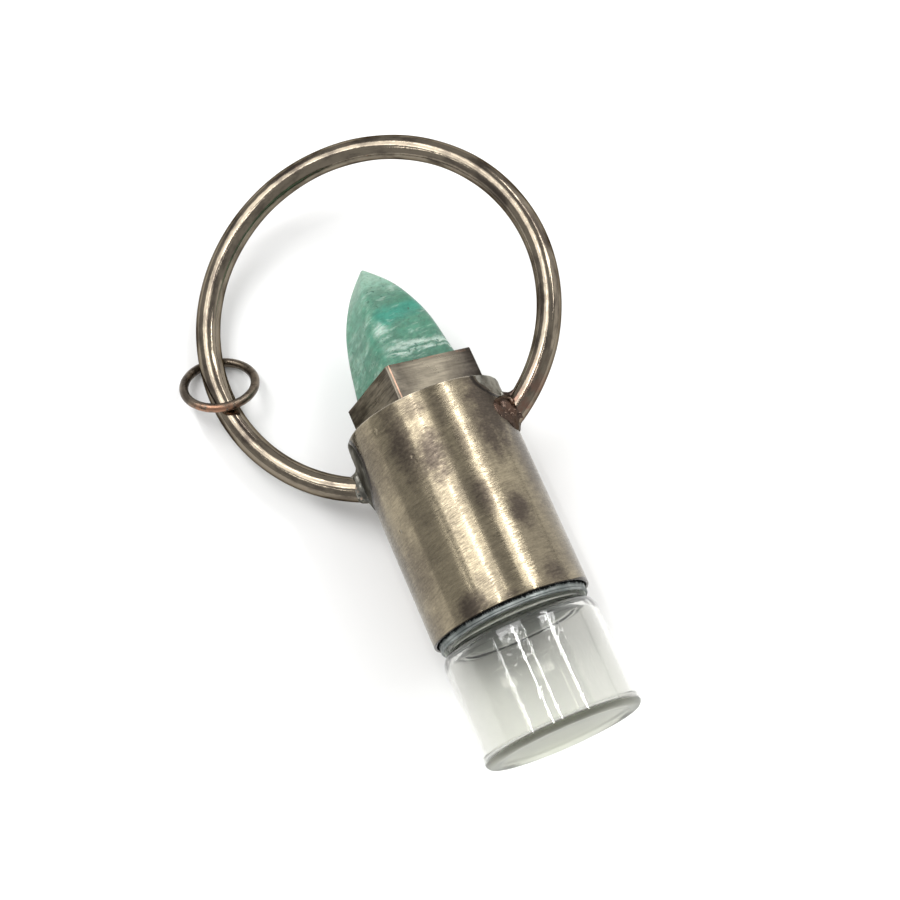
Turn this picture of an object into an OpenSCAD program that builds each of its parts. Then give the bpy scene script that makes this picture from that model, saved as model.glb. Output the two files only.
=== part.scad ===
// Bottle pendant: a brass sleeve with a stone point in a square collar, a large
// round hoop soldered to its sides, a jump ring on the hoop, and a small glass
// vial screwed into a cap inside the sleeve. It lies on its side: the sleeve and
// the jump ring touch the surface, and the hoop lies on the jump ring's wire.
// Millimetres. Each piece is drawn upright first, with the sleeve's lower rim at
// z = 0, its axis along +Z and the hoop in the XZ plane; lay_down() then rests it.

/* [Sleeve] */
// How far the sleeve's side stands proud of the vial's
sleeve_proud = 0.1; // [0:0.05:0.4]
// Length of the sleeve
sleeve_l = 30.8; // [24:0.1:44]
// Wall of the sleeve
sleeve_wall = 0.4; // [0.3:0.05:0.8]
// Thickness of the plate that closes the sleeve's upper end
plate_t = 0.8; // [0.5:0.1:1.5]
// Depth of the plate below the sleeve's upper rim
plate_recess = 0.4; // [0.2:0.1:1]

/* [Collar] */
// Outer side of the square collar
collar_side = 13.8; // [11:0.1:14.4]
// Height of the collar above the sleeve's upper rim
collar_h = 5.5; // [3:0.1:9]
// Wall of the collar
collar_wall = 0.5; // [0.3:0.05:0.8]
// Width of the worn flat on each upright edge of the collar
collar_edge = 0.5; // [0.2:0.1:1]
// Turn of the collar from having its corners in the hoop's plane
collar_turn = -2.2; // [-10:0.1:10]

/* [Stone] */
// Height of the stone's tip above the collar
stone_rise = 18; // [10:0.5:22]
// Radius of the stone's rounded upright edges
stone_corner_r = 2; // [0.8:0.1:3]
// Narrowing of the stone that is even along its height
stone_taper = 0.4; // [0.1:0.05:0.6]
// Sharpness of the stone's shoulder: more keeps it full for longer
stone_power = 4; // [2:0.5:6]
// Gap between the stone and its collar
stone_gap = 0.1; // [0.05:0.05:0.2]

/* [Hoop] */
// Radius of the hoop to the middle of its wire
hoop_r = 25; // [20:0.1:34]
// Diameter of the hoop's wire
wire_d = 3.5; // [2.5:0.1:4.5]
// Height of the hoop's centre above the sleeve's upper rim
hoop_rise = 16.55; // [14:0.05:19]
// Sideways place of the hoop's centre
hoop_shift = -0.55; // [-2:0.05:2]

/* [Solder] */
// Diameter of the solder bead round each end of the hoop
bead_d = 4.8; // [3.8:0.1:6]
// Thickness of the solder webs above and below each end
web_t = 3; // [1.5:0.1:3.4]
// Height of the upper web above the middle of the wire
web_up = 4.8; // [3:0.1:5.4]
// Depth of the lower web below the middle of the wire
web_down = 3.2; // [2.4:0.1:5]
// Width of each web at its thin end
web_lip = 0.3; // [0.1:0.05:0.6]
// Radius of each web's hollow side
web_r = 4; // [3:0.1:6]

/* [Screw cap] */
// Gap between the cap and the sleeve, which the glue fills
cap_gap = 0.2; // [0.1:0.05:0.3]
// Wall of the cap
cap_wall = 0.5; // [0.3:0.05:0.8]
// Length of the cap that stands out below the sleeve
cap_drop = 1.1; // [0.6:0.1:2]
// Height of the rolled bead on the cap's lower edge
cap_bead = 0.4; // [0.2:0.05:0.6]

/* [Vial] */
// Outer diameter of the vial
vial_d = 22.2; // [18:0.1:30]
// Length of the vial below the sleeve's lower rim
vial_drop = 17.6; // [12:0.1:40]
// Wall of the vial
vial_wall = 1.1; // [0.8:0.1:1.6]
// Radius of the vial's shoulder
shoulder_r = 2.1; // [1.6:0.1:3]
// Radius of the vial's heel
heel_r = 1; // [0.6:0.1:2]
// Thickness of the vial's base at its ring
base_t = 1.9; // [1.2:0.1:3]
// Height of the hollow under the vial's base
base_hollow = 0.5; // [0.2:0.1:0.8]
// Width of the ring that the vial stands on
base_ring_w = 0.8; // [0.5:0.1:1.5]
// Length of the vial's neck
neck_l = 8.9; // [6:0.1:14]
// Wall of the vial's neck at the root of its thread
neck_wall = 1.4; // [1:0.1:2]
// Height of the thread's crests above the neck
thread_h = 0.35; // [0.2:0.05:0.6]
// Width of a thread crest at its root
thread_w = 1.1; // [0.6:0.1:1.5]
// Distance from one thread crest to the next
thread_pitch = 2.8; // [2:0.1:3.4]
// Gap between the thread's crests and the cap
thread_gap = 0.15; // [0.1:0.05:0.3]
// Gap between the vial's shoulder and the cap, and between its mouth and the cap
seat_gap = 0.3; // [0.1:0.05:0.4]

/* [Jump ring] */
// Radius of the jump ring to the middle of its wire
ring_r = 5.1; // [4:0.1:7]
// Diameter of the jump ring's wire
ring_wire_d = 1.3; // [0.9:0.1:1.6]
// Place of the jump ring along the hoop, above the hoop's centre
ring_along = 1.25; // [-4:0.05:4]
// Sideways place of the jump ring's centre from the hoop's wire
ring_inset = 0.35; // [0:0.05:0.6]
// Sideways lean of the jump ring
ring_lean = 7; // [0:0.5:10]
// Gap between the hoop and the jump ring where they bear on each other
ring_gap = 0.06; // [0.03:0.01:0.15]

/* [Hidden] */

$fn = 96;
cut = 1;                    // how far a cutting solid runs past what it cuts

// The vial sets the diameters: the sleeve matches it, and the cap fits the sleeve
sleeve_r = vial_d / 2 + sleeve_proud;
bore_r = sleeve_r - sleeve_wall;
plate_top = sleeve_l - plate_recess;
plate_bottom = plate_top - plate_t;
collar_top = sleeve_l + collar_h;
wire_r = wire_d / 2;
hoop_z = sleeve_l + hoop_rise;

// The middle of the hoop's wire stands on the sleeve's wall at this height
function joint_z(side) = hoop_z - sqrt(pow(hoop_r, 2) - pow(side * sleeve_r - hoop_shift, 2));

// Stone: a rounded square that the formula narrows from the collar to the tip
stone_side = collar_side - 2 * collar_wall - 2 * stone_gap;
stone_foot = plate_top + stone_gap;
stone_arc_steps = 6;
stone_rings = 22;
stone_blunt = 0.985;        // share of the rise at which the last ring lies
function stone_width(u) = (1 - stone_taper * u) * (1 - pow(u, stone_power));
function stone_section(z, k) = [
    for (quarter = [0:3], step = [0:stone_arc_steps])
        let (corner = 90 * quarter + 45,
             turn = 90 * quarter + 90 * step / stone_arc_steps,
             reach = (stone_side / 2 - stone_corner_r) * sqrt(2))
        [k * (reach * cos(corner) + stone_corner_r * cos(turn)),
         k * (reach * sin(corner) + stone_corner_r * sin(turn)), z]];

// Vial: heights go down from the sleeve's lower rim
vial_r = vial_d / 2;
vial_base = -vial_drop;
cap_r = bore_r - cap_gap;
shoulder_z = -cap_drop - seat_gap;
mouth_z = shoulder_z + neck_l;
cap_bore_r = cap_r - cap_wall;
neck_r = cap_bore_r - thread_gap - thread_h;
neck_bore_r = neck_r - neck_wall;
cavity_r = vial_r - vial_wall;
inner_shoulder_r = shoulder_r - vial_wall / 2;
inner_heel_r = heel_r + vial_wall / 2;
mouth_edge_r = 0.4;
thread_turns = 2;
thread_first = shoulder_z + neck_l / 2 - thread_pitch / 2;
cap_top = mouth_z + seat_gap + cap_wall;

// Jump ring: its lower side lies on the surface and its upper side on the hoop
ring_wire_r = ring_wire_d / 2;
ring_pitch = asin((wire_d + ring_wire_d + 2 * ring_gap) / (2 * ring_r));
ring_normal_x = cos(ring_pitch) * sin(ring_lean);
ring_normal_z = cos(ring_pitch) * cos(ring_lean);
function hoop_reach(along) = sqrt(pow(hoop_r, 2) - pow(along, 2)) - hoop_shift;

// Roll about the sleeve's axis that brings the hoop down onto the jump ring
roll_drop = sleeve_r - ring_wire_d - wire_r - ring_gap;
roll = asin(roll_drop / hoop_reach(ring_along + ring_r * cos(ring_pitch)));
ring_x = ring_inset - cos(roll) * hoop_reach(ring_along);
ring_y = hoop_z + ring_along;
ring_z = ring_wire_r + ring_r * sqrt(1 - pow(ring_normal_z, 2));

// The origin lies under the middle of the whole part
x_low = min(ring_x - ring_r * sqrt(1 - pow(ring_normal_x, 2)) - ring_wire_r,
            -cos(roll) * (hoop_r - hoop_shift) - wire_r);
x_high = cos(roll) * (hoop_r + hoop_shift) + wire_r;
y_low = vial_base;
y_high = hoop_z + hoop_r + wire_r;
middle = [(x_low + x_high) / 2, (y_low + y_high) / 2, 0];

function arc(x, z, r, from, to, steps = 8) = [
    for (k = [0:steps]) let (a = from + (to - from) * k / steps) [x + r * cos(a), z + r * sin(a)]];

module lay_down() {
    translate([0, 0, sleeve_r] - middle)
        rotate([-90, -roll, 0])
            children();
}

module hoop() {
    translate([hoop_shift, 0, hoop_z])
        rotate([90, 0, 0])
            rotate_extrude()
                translate([hoop_r, 0]) circle(d = wire_d, $fn = 48);
}

// One side of a web: solid against the sleeve, hollow towards the hoop's wire
module web_side(height) {
    difference() {
        square([sleeve_wall / 2 + web_lip + web_r / 2, height]);
        translate([sleeve_wall / 2 + web_lip + web_r, height]) circle(r = web_r);
    }
}

module solder(side) {
    foot = joint_z(side);
    flip = side < 0 ? [1, 0, 0] : [0, 0, 0];
    translate([side * sleeve_r, 0, foot]) sphere(d = bead_d);
    translate([side * (sleeve_r - sleeve_wall / 2), 0, foot])
        mirror(flip)
            rotate([90, 0, 0])
                linear_extrude(web_t, center = true) {
                    web_side(web_up);
                    mirror([0, 1]) web_side(web_down);
                }
}

module collar_outline(side, edge) {
    intersection() {
        square(side, center = true);
        rotate(45) square(side * sqrt(2) - edge, center = true);
    }
}

module collar() {
    translate([0, 0, plate_top - plate_t / 2])
        rotate(45 + collar_turn)
            linear_extrude(collar_top - plate_top + plate_t / 2)
                collar_outline(collar_side, collar_edge);
}

module stone_pocket() {
    translate([0, 0, plate_top])
        rotate(45 + collar_turn)
            linear_extrude(collar_top - plate_top + cut)
                square(collar_side - 2 * collar_wall, center = true);
}

module soldered_frame() {
    color("#7f705c")
        lay_down()
            difference() {
                union() {
                    cylinder(r = sleeve_r, h = plate_top);
                    difference() {
                        cylinder(r = sleeve_r, h = sleeve_l);
                        translate([0, 0, plate_top]) cylinder(r = bore_r, h = plate_recess + cut);
                    }
                    hoop();
                    for (side = [-1, 1]) solder(side);
                    collar();
                }
                translate([0, 0, -cut]) cylinder(r = bore_r, h = plate_bottom + cut);
                stone_pocket();
            }
}

module stone_point() {
    heights = concat([[stone_foot, 1]],
        [for (k = [0:stone_rings])
            let (u = stone_blunt * k / stone_rings)
            [collar_top + stone_rise * u, stone_width(u)]]);
    round_count = 4 * (stone_arc_steps + 1);
    ring_count = len(heights);
    points = [for (row = heights) each stone_section(row[0], row[1])];
    sides = [for (ring = [0:ring_count - 2], k = [0:round_count - 1])
        let (next = (k + 1) % round_count, low = ring * round_count, high = low + round_count)
        [low + k, high + k, high + next, low + next]];
    foot_face = [for (k = [0:round_count - 1]) k];
    tip_face = [for (k = [round_count - 1:-1:0]) (ring_count - 1) * round_count + k];
    color("#6fb69d")
        lay_down()
            rotate(45 + collar_turn)
                polyhedron(points, concat([foot_face, tip_face], sides), convexity = 4);
}

module jump_ring() {
    color("#5d4638")
        translate([ring_x, ring_y, ring_z] - middle)
            rotate([-ring_pitch, ring_lean, 0])
                rotate_extrude() translate([ring_r, 0]) circle(r = ring_wire_r, $fn = 32);
}

module screw_cap() {
    bead_r = cap_bead / 2;
    color("#8d9a9c")
        lay_down()
            rotate_extrude()
                polygon(concat(
                    arc(cap_r - bead_r, -cap_drop + bead_r, bead_r, -90, 0),
                    [[cap_r, cap_top], [0, cap_top], [0, cap_top - cap_wall],
                     [cap_bore_r, cap_top - cap_wall], [cap_bore_r, -cap_drop]]));
}

module thread_crest(z) {
    polygon([[neck_r - thread_h, z - thread_w / 2], [neck_r, z - thread_w / 2],
             [neck_r + thread_h, z - thread_w / 6], [neck_r + thread_h, z + thread_w / 6],
             [neck_r, z + thread_w / 2], [neck_r - thread_h, z + thread_w / 2]]);
}

module glass_vial() {
    ring_inner = vial_r - heel_r - base_ring_w;
    outer = concat(
        [[0, vial_base + base_hollow], [ring_inner / 2, vial_base + 0.9 * base_hollow],
         [ring_inner, vial_base]],
        arc(vial_r - heel_r, vial_base + heel_r, heel_r, -90, 0),
        arc(vial_r - shoulder_r, shoulder_z - shoulder_r, shoulder_r, 0, 90),
        [[neck_r, shoulder_z]],
        arc(neck_r - mouth_edge_r, mouth_z - mouth_edge_r, mouth_edge_r, 0, 90, 4));
    inner = concat(
        [[neck_bore_r, mouth_z], [neck_bore_r, shoulder_z - vial_wall]],
        arc(cavity_r - inner_shoulder_r, shoulder_z - vial_wall - inner_shoulder_r,
            inner_shoulder_r, 90, 0),
        arc(cavity_r - inner_heel_r, vial_base + base_t + inner_heel_r, inner_heel_r, 0, -90),
        [[0, vial_base + base_t + base_hollow / 2]]);
    color("#c9d3cf", 0.5)
        lay_down()
            rotate_extrude() {
                polygon(concat(outer, inner));
                for (turn = [0:thread_turns - 1]) thread_crest(thread_first + turn * thread_pitch);
            }
}

soldered_frame();
stone_point();
jump_ring();
screw_cap();
glass_vial();
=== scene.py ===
"""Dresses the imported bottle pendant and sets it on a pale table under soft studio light.

Each piece is modelled upright and in millimetres: the sleeve's lower rim at z = 0, its axis
along +Z, the hoop in the XZ plane and the photographed side towards -Y. LyingPose then lays
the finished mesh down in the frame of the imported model, in metres, where the sleeve and the
jump ring touch the table.
"""

from __future__ import annotations

import logging
import math
from abc import ABC, abstractmethod
from contextlib import contextmanager
from dataclasses import dataclass
from enum import Enum
from functools import reduce
from typing import Callable, Iterator, Sequence

import bmesh
import bpy
from mathutils import Matrix, Vector, noise

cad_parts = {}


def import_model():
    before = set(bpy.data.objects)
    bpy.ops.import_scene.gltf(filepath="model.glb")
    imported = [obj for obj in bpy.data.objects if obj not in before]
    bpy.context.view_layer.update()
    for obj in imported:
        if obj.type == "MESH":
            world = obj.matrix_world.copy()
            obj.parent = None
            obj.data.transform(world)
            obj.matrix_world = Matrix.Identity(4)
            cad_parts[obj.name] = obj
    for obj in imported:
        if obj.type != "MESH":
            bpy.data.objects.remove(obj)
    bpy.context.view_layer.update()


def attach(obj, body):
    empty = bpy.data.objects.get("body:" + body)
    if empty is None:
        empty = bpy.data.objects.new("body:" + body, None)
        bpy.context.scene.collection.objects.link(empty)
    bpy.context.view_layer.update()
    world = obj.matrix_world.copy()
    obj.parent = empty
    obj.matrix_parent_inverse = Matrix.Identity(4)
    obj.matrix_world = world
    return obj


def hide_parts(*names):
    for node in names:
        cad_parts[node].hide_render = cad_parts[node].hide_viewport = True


LOG = logging.getLogger("bottle_pendant")
MM = 0.001
WATTS_PER_RADIANCE = 4
SLEEVE_R = 11.2
COLLAR_SIDE = 13.8
COLLAR_TOP = 36.3
COLLAR_TURN = 42.8
HOOP_R = 25.0
HOOP_CENTRE = (-0.55, 0.0, 47.35)
VIAL_R = 11.1
SHOULDER_R = 2.1

Piece = bpy.types.Object
Socket = bpy.types.NodeSocket
Point = tuple[float, float]
Span = tuple[float, float]
Place = tuple[float, float, float]
Colour = tuple[float, float, float]


class Body(Enum):
    """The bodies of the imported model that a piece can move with."""

    FRAME = "frame"
    VIAL = "vial"


class Slot(Enum):
    """The material slots of the record."""

    BRASS = "antique_brass"
    STONE = "green_stone"
    COPPER = "copper_wire"
    CAP = "cap_aluminium"
    GLASS = "clear_glass"


class Side(Enum):
    """The two sides of the sleeve that the hoop is soldered to."""

    LEFT = -1
    RIGHT = 1


@dataclass(frozen=True)
class LyingPose:
    """How the upright pendant lies on the table."""

    roll: float = 18.969
    middle_x: float = -2.3158
    middle_z: float = 28.25
    lift: float = SLEEVE_R

    def matrix(self) -> Matrix:
        """Returns: the matrix from the upright pendant, in mm, to the table, in metres."""
        turn = Matrix.Rotation(math.radians(-self.roll), 4, "Y") @ Matrix.Rotation(
            math.radians(-90), 4, "X"
        )
        place = Matrix.Translation((-self.middle_x, -self.middle_z, self.lift))
        return Matrix.Scale(MM, 4) @ place @ turn

    def settle(self, piece: Piece, matrix: Matrix | None = None) -> None:
        """Writes the lying place into a finished mesh.

        Args:
            piece: the finished piece, modelled upright in mm.
            matrix: another placing matrix, for a piece that doesn't stand in the pendant's frame.
        """
        focus(piece)
        piece.matrix_world = (matrix or self.matrix()) @ piece.matrix_world
        bake_place(turned=True, scaled=True)


POSE = LyingPose()


def focus(piece: Piece) -> None:
    """Selects one piece alone and makes it active.

    Args:
        piece: the piece to work on.
    """
    bpy.ops.object.select_all(action="DESELECT")
    piece.select_set(True)
    bpy.context.view_layer.objects.active = piece


@contextmanager
def edit_mode(piece: Piece) -> Iterator[None]:
    """Opens a piece in edit mode with everything selected, and leaves it afterwards.

    Args:
        piece: the piece to work on.
    """
    focus(piece)
    bpy.context.tool_settings.mesh_select_mode = (True, False, False)
    bpy.ops.object.mode_set(mode="EDIT")
    bpy.ops.mesh.select_all(action="SELECT")
    try:
        yield
    finally:
        bpy.ops.object.mode_set(mode="OBJECT")


def pick(piece: Piece, test: Callable[[Vector], bool]) -> None:
    """Selects the vertices of the piece in edit mode that pass a test of their place.

    Args:
        piece: the piece in edit mode.
        test: true for a place that is wanted.
    """
    mesh = bmesh.from_edit_mesh(piece.data)
    for vertex in mesh.verts:
        vertex.select_set(test(vertex.co))
    mesh.select_mode = {"VERT"}
    mesh.select_flush_mode()
    bmesh.update_edit_mesh(piece.data)


def pick_edges(piece: Piece, test: Callable[[Vector, Vector], bool]) -> None:
    """Selects the edges of the piece in edit mode whose two ends pass a test.

    Args:
        piece: the piece in edit mode.
        test: true for the two ends of an edge that is wanted.
    """
    bpy.ops.mesh.select_all(action="DESELECT")
    bpy.context.tool_settings.mesh_select_mode = (False, True, False)
    mesh = bmesh.from_edit_mesh(piece.data)
    for edge in mesh.edges:
        edge.select_set(test(edge.verts[0].co, edge.verts[1].co))
    bmesh.update_edit_mesh(piece.data)


def start_piece(name: str, add: Callable[..., object], **settings: object) -> Piece:
    """Adds a primitive, which becomes the active piece.

    Args:
        name: the name of the new piece.
        add: the operator that adds it.
        settings: the operator's settings by name.

    Returns:
        The piece.
    """
    bpy.ops.object.select_all(action="DESELECT")
    add(**settings)
    piece = bpy.context.object
    piece.name = piece.data.name = name
    return piece


def bake_place(turned: bool = False, scaled: bool = False) -> None:
    """Writes the place of the selected pieces into their meshes, and their turn or scale."""
    bpy.ops.object.transform_apply(location=True, rotation=turned, scale=scaled)


def extrude(x: float, y: float, z: float) -> None:
    """Extrudes what is selected by a step along each axis."""
    bpy.ops.mesh.extrude_region_move(TRANSFORM_OT_translate={"value": (x, y, z)})


def face_outwards() -> None:
    """Turns all faces of the piece in edit mode outwards."""
    bpy.ops.mesh.select_all(action="SELECT")
    bpy.ops.mesh.normals_make_consistent(inside=False)


def scale_round_axis(place: Vector, share: float) -> Vector:
    """Returns: a vertex's place with its distance from the axis scaled."""
    return Vector((place.x * share, place.y * share, place.z))


def move_vertices(piece: Piece, place: Callable[[Vector], Vector]) -> None:
    """Moves each vertex of a mesh, as with a soft brush.

    Args:
        piece: the piece to shape.
        place: the new place of a vertex, from its old one.
    """
    for vertex in piece.data.vertices:
        vertex.co = place(vertex.co.copy())
    piece.data.update()


def arc(x: float, z: float, r: float, start: float, end: float, steps: int) -> list[Point]:
    """Lists points on a circular arc in the XZ plane.

    Args:
        x: the centre's x.
        z: the centre's z.
        r: the radius.
        start: the first angle in degrees.
        end: the last angle in degrees.
        steps: how many segments the arc has.

    Returns:
        The points in order.
    """
    return [
        (
            x + r * math.cos(math.radians(start + (end - start) * k / steps)),
            z + r * math.sin(math.radians(start + (end - start) * k / steps)),
        )
        for k in range(steps + 1)
    ]


def rows(x: float, low: float, high: float, step: float) -> list[Point]:
    """Lists evenly spaced points between two heights, without the two ends.

    Args:
        x: the radius of the points.
        low: the height to start from.
        high: the height to end at.
        step: about how far apart the points are.

    Returns:
        The points from low to high.
    """
    count = max(1, round(abs(high - low) / step))
    return [(x, low + (high - low) * k / count) for k in range(1, count)]


def draw_line(name: str, points: Sequence[Point]) -> Piece:
    """Draws an outline in the XZ plane by extruding one vertex from point to point.

    Args:
        name: the name of the new piece.
        points: the outline in order.

    Returns:
        The piece, a chain of edges.
    """
    piece = start_piece(name, bpy.ops.mesh.primitive_plane_add, size=1)
    with edit_mode(piece):
        bpy.ops.mesh.merge(type="CENTER")
        x, z = points[0]
        bpy.ops.transform.translate(value=(x, 0, z))
        for next_x, next_z in points[1:]:
            extrude(next_x - x, 0, next_z - z)
            x, z = next_x, next_z
    return piece


def close_skin(piece: Piece, near: float = 0.002) -> None:
    """Merges doubled vertices and turns all faces outwards.

    Args:
        piece: the piece to close.
        near: how near two vertices are merged.
    """
    with edit_mode(piece):
        bpy.ops.mesh.remove_doubles(threshold=near)
        bpy.ops.mesh.dissolve_degenerate(threshold=near / 2)
        face_outwards()


def lathe(name: str, outline: Sequence[Point], steps: int) -> Piece:
    """Spins a closed outline round the pendant's axis.

    Args:
        name: the name of the new piece.
        outline: the outline in order; its last point joins its first.
        steps: how many steps the full turn has.

    Returns:
        The closed piece.
    """
    piece = draw_line(name, [*outline, outline[0]])
    with edit_mode(piece):
        bpy.ops.mesh.spin(steps=steps, angle=math.tau, center=(0, 0, 0), axis=(0, 0, 1))
    close_skin(piece)
    return piece


def apply_modifier(piece: Piece, kind: str, **settings: object) -> None:
    """Adds a modifier and applies it at once.

    Args:
        piece: the piece to change.
        kind: the modifier's type.
        settings: the modifier's settings by name.
    """
    focus(piece)
    modifier = piece.modifiers.new(kind.title(), kind)
    for key, value in settings.items():
        setattr(modifier, key, value)
    bpy.ops.object.modifier_apply(modifier=modifier.name)


def smooth_shade(piece: Piece, angle: float) -> None:
    """Shades a piece smooth, with sharp edges above an angle.

    Args:
        piece: the piece to shade.
        angle: the angle in degrees.
    """
    focus(piece)
    bpy.ops.object.shade_smooth_by_angle(angle=math.radians(angle))


def uneven(piece: Piece, depth: float, size: float, low: float = -1e9) -> None:
    """Gives a hand-worked surface its slight waves.

    Args:
        piece: the piece, in mm.
        depth: how far a wave stands from the surface.
        size: about how wide a wave is.
        low: the height below which nothing moves.
    """
    normals = [vertex.normal.copy() for vertex in piece.data.vertices]
    for vertex, normal in zip(piece.data.vertices, normals):
        if vertex.co.z > low:
            vertex.co += normal * depth * noise.noise(vertex.co / size)
    piece.data.update()


def finish_piece(piece: Piece, body: Body, slot: Slot, dress: bpy.types.Material) -> None:
    """Gives a placed piece its material and body, and reports it with its record slot.

    Args:
        piece: the finished piece, in place.
        body: the body that it moves with.
        slot: the record's material slot.
        dress: the material.
    """
    piece.data.materials.clear()
    piece.data.materials.append(dress)
    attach(piece, body.value)
    LOG.info("%s: %d faces, %s", piece.name, len(piece.data.polygons), slot.value)


class NodeBoard:
    """Adds shader nodes to a node tree and links them."""

    def __init__(self, tree: bpy.types.NodeTree) -> None:
        """Starts on a tree.

        Args:
            tree: the node tree to write to.
        """
        self.tree = tree
        self.count = 0

    def put(self, kind: str, inputs: dict | None = None, **settings: object) -> bpy.types.Node:
        """Adds a node.

        Args:
            kind: the node's type name, without the leading ShaderNode.
            inputs: socket name or number to a value, or to the socket that feeds it.
            settings: the node's own settings by name.

        Returns:
            The node.
        """
        node = self.tree.nodes.new("ShaderNode" + kind)
        node.location = (200 * (self.count // 4), -260 * (self.count % 4))
        self.count += 1
        for key, value in settings.items():
            setattr(node, key, value)
        for key, value in (inputs or {}).items():
            self.feed(node.inputs[key], value)
        return node

    def feed(self, socket: Socket, value: object) -> None:
        """Links or sets a socket.

        Args:
            socket: the input to feed.
            value: an output socket, a number, a vector or a colour.
        """
        if isinstance(value, Socket):
            self.tree.links.new(value, socket)
        elif socket.type == "RGBA" and len(value) == 3:
            socket.default_value = (*value, 1)
        else:
            socket.default_value = value

    def math(self, operation: str, *values: object, clamp: bool = False) -> Socket:
        """Adds a Math node.

        Args:
            operation: the operation's name.
            values: its inputs in order.
            clamp: whether the result is held between 0 and 1.

        Returns:
            The result.
        """
        inputs = dict(enumerate(values))
        return self.put("Math", inputs, operation=operation, use_clamp=clamp).outputs[0]

    def times(self, first: object, second: object) -> Socket:
        """Returns: the product of two values."""
        return self.math("MULTIPLY", first, second)

    def plus(self, first: object, second: object) -> Socket:
        """Returns: the sum of two values."""
        return self.math("ADD", first, second)

    def minus(self, first: object, second: object) -> Socket:
        """Returns: the first value less the second."""
        return self.math("SUBTRACT", first, second)

    def most(self, first: object, second: object) -> Socket:
        """Returns: the larger of two values."""
        return self.math("MAXIMUM", first, second)

    def scaled(self, value: object, factor: object, shift: object) -> Socket:
        """Returns: a value times a factor, with a shift added."""
        return self.math("MULTIPLY_ADD", value, factor, shift)

    def off(self, value: object, middle: object) -> Socket:
        """Returns: how far a value lies from a middle one."""
        return self.math("ABSOLUTE", self.minus(value, middle))

    def vector(self, operation: str, *values: object) -> bpy.types.bpy_prop_collection:
        """Returns: the outputs of a Vector Math node with these inputs."""
        return self.put("VectorMath", dict(enumerate(values)), operation=operation).outputs

    def split(self, vector: object) -> bpy.types.bpy_prop_collection:
        """Returns: the x, y and z of a vector, as the outputs of a node."""
        return self.put("SeparateXYZ", {0: vector}).outputs

    def mapped(self, vector: object, **settings: object) -> Socket:
        """Returns: a vector moved, turned or scaled by a Mapping node's settings."""
        inputs = {"Vector": vector, **settings}
        return self.put("Mapping", inputs, vector_type="POINT").outputs[0]

    def mix(self, factor: object, first: object, second: object) -> Socket:
        """Mixes two colours.

        Args:
            factor: how much of the second colour.
            first: the first colour.
            second: the second colour.

        Returns:
            The mixed colour.
        """
        inputs = {"Factor": factor, 6: first, 7: second}
        return self.put("Mix", inputs, data_type="RGBA", clamp_factor=True).outputs[2]

    def tint(self, colour: object, factor: object) -> Socket:
        """Multiplies a colour by a grey value.

        Args:
            colour: the colour.
            factor: the value.

        Returns:
            The darker or lighter colour.
        """
        inputs = {0: colour, "Scale": factor}
        return self.put("VectorMath", inputs, operation="SCALE").outputs[0]

    def ramp(
        self, value: object, low: float, high: float, start: float = 0.0, end: float = 1.0
    ) -> Socket:
        """Maps a value smoothly and holds it between two ends.

        Args:
            value: the value to map.
            low: the value that gives start.
            high: the value that gives end.
            start: the lowest result.
            end: the highest result.

        Returns:
            The mapped value.
        """
        inputs = {"Value": value, 1: low, 2: high, 3: start, 4: end}
        return self.put("MapRange", inputs, interpolation_type="SMOOTHSTEP").outputs[0]

    def cloud(
        self,
        vector: object,
        scale: float,
        detail: float = 3.0,
        rough: float = 0.5,
        twist: float = 0.0,
    ) -> Socket:
        """Adds a noise texture.

        Args:
            vector: where it is read.
            scale: its scale.
            detail: how many finer layers it has.
            rough: how strong the finer layers are.
            twist: how much it is distorted.

        Returns:
            The noise value, about 0.5 in the middle.
        """
        inputs = {"Vector": vector, "Scale": scale, "Detail": detail}
        inputs.update({"Roughness": rough, "Distortion": twist})
        return self.put("TexNoise", inputs, noise_dimensions="3D").outputs[0]

    def stretch(self, vector: object, scale: Sequence[float]) -> Socket:
        """Scales a vector along its axes.

        Args:
            vector: the vector.
            scale: the three scales.

        Returns:
            The scaled vector.
        """
        return self.vector("MULTIPLY", vector, tuple(scale))[0]

    def grain(
        self,
        vector: object,
        scale: Sequence[float],
        detail: float = 3.0,
        rough: float = 0.5,
        twist: float = 0.0,
    ) -> Socket:
        """Returns: a noise texture that is scaled along each axis, as cloud gives it."""
        return self.cloud(self.stretch(vector, scale), 1.0, detail, rough, twist)


class GroupBoard(NodeBoard):
    """Builds a shader node group with named inputs and outputs."""

    def __init__(self, name: str, inputs: dict, outputs: Sequence[str | tuple[str, str]]) -> None:
        """Starts a group.

        Args:
            name: the group's name.
            inputs: input name to its default, a number or a vector.
            outputs: output names; a pair gives the name and the socket's kind.
        """
        super().__init__(bpy.data.node_groups.new(name, "ShaderNodeTree"))
        for key, value in inputs.items():
            kind = "NodeSocketFloat" if isinstance(value, (int, float)) else "NodeSocketVector"
            socket = self.tree.interface.new_socket(key, in_out="INPUT", socket_type=kind)
            socket.default_value = value
        for output in outputs:
            key, kind = output if isinstance(output, tuple) else (output, "NodeSocketFloat")
            self.tree.interface.new_socket(key, in_out="OUTPUT", socket_type=kind)
        self.source = self.tree.nodes.new("NodeGroupInput")
        self.sink = self.tree.nodes.new("NodeGroupOutput")

    def give(self, name: str) -> Socket:
        """Returns: the group's input of that name, to link from."""
        return self.source.outputs[name]

    def out(self, name: str, value: Socket) -> None:
        """Links a value to the group's output of that name."""
        self.tree.links.new(value, self.sink.inputs[name])


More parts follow.
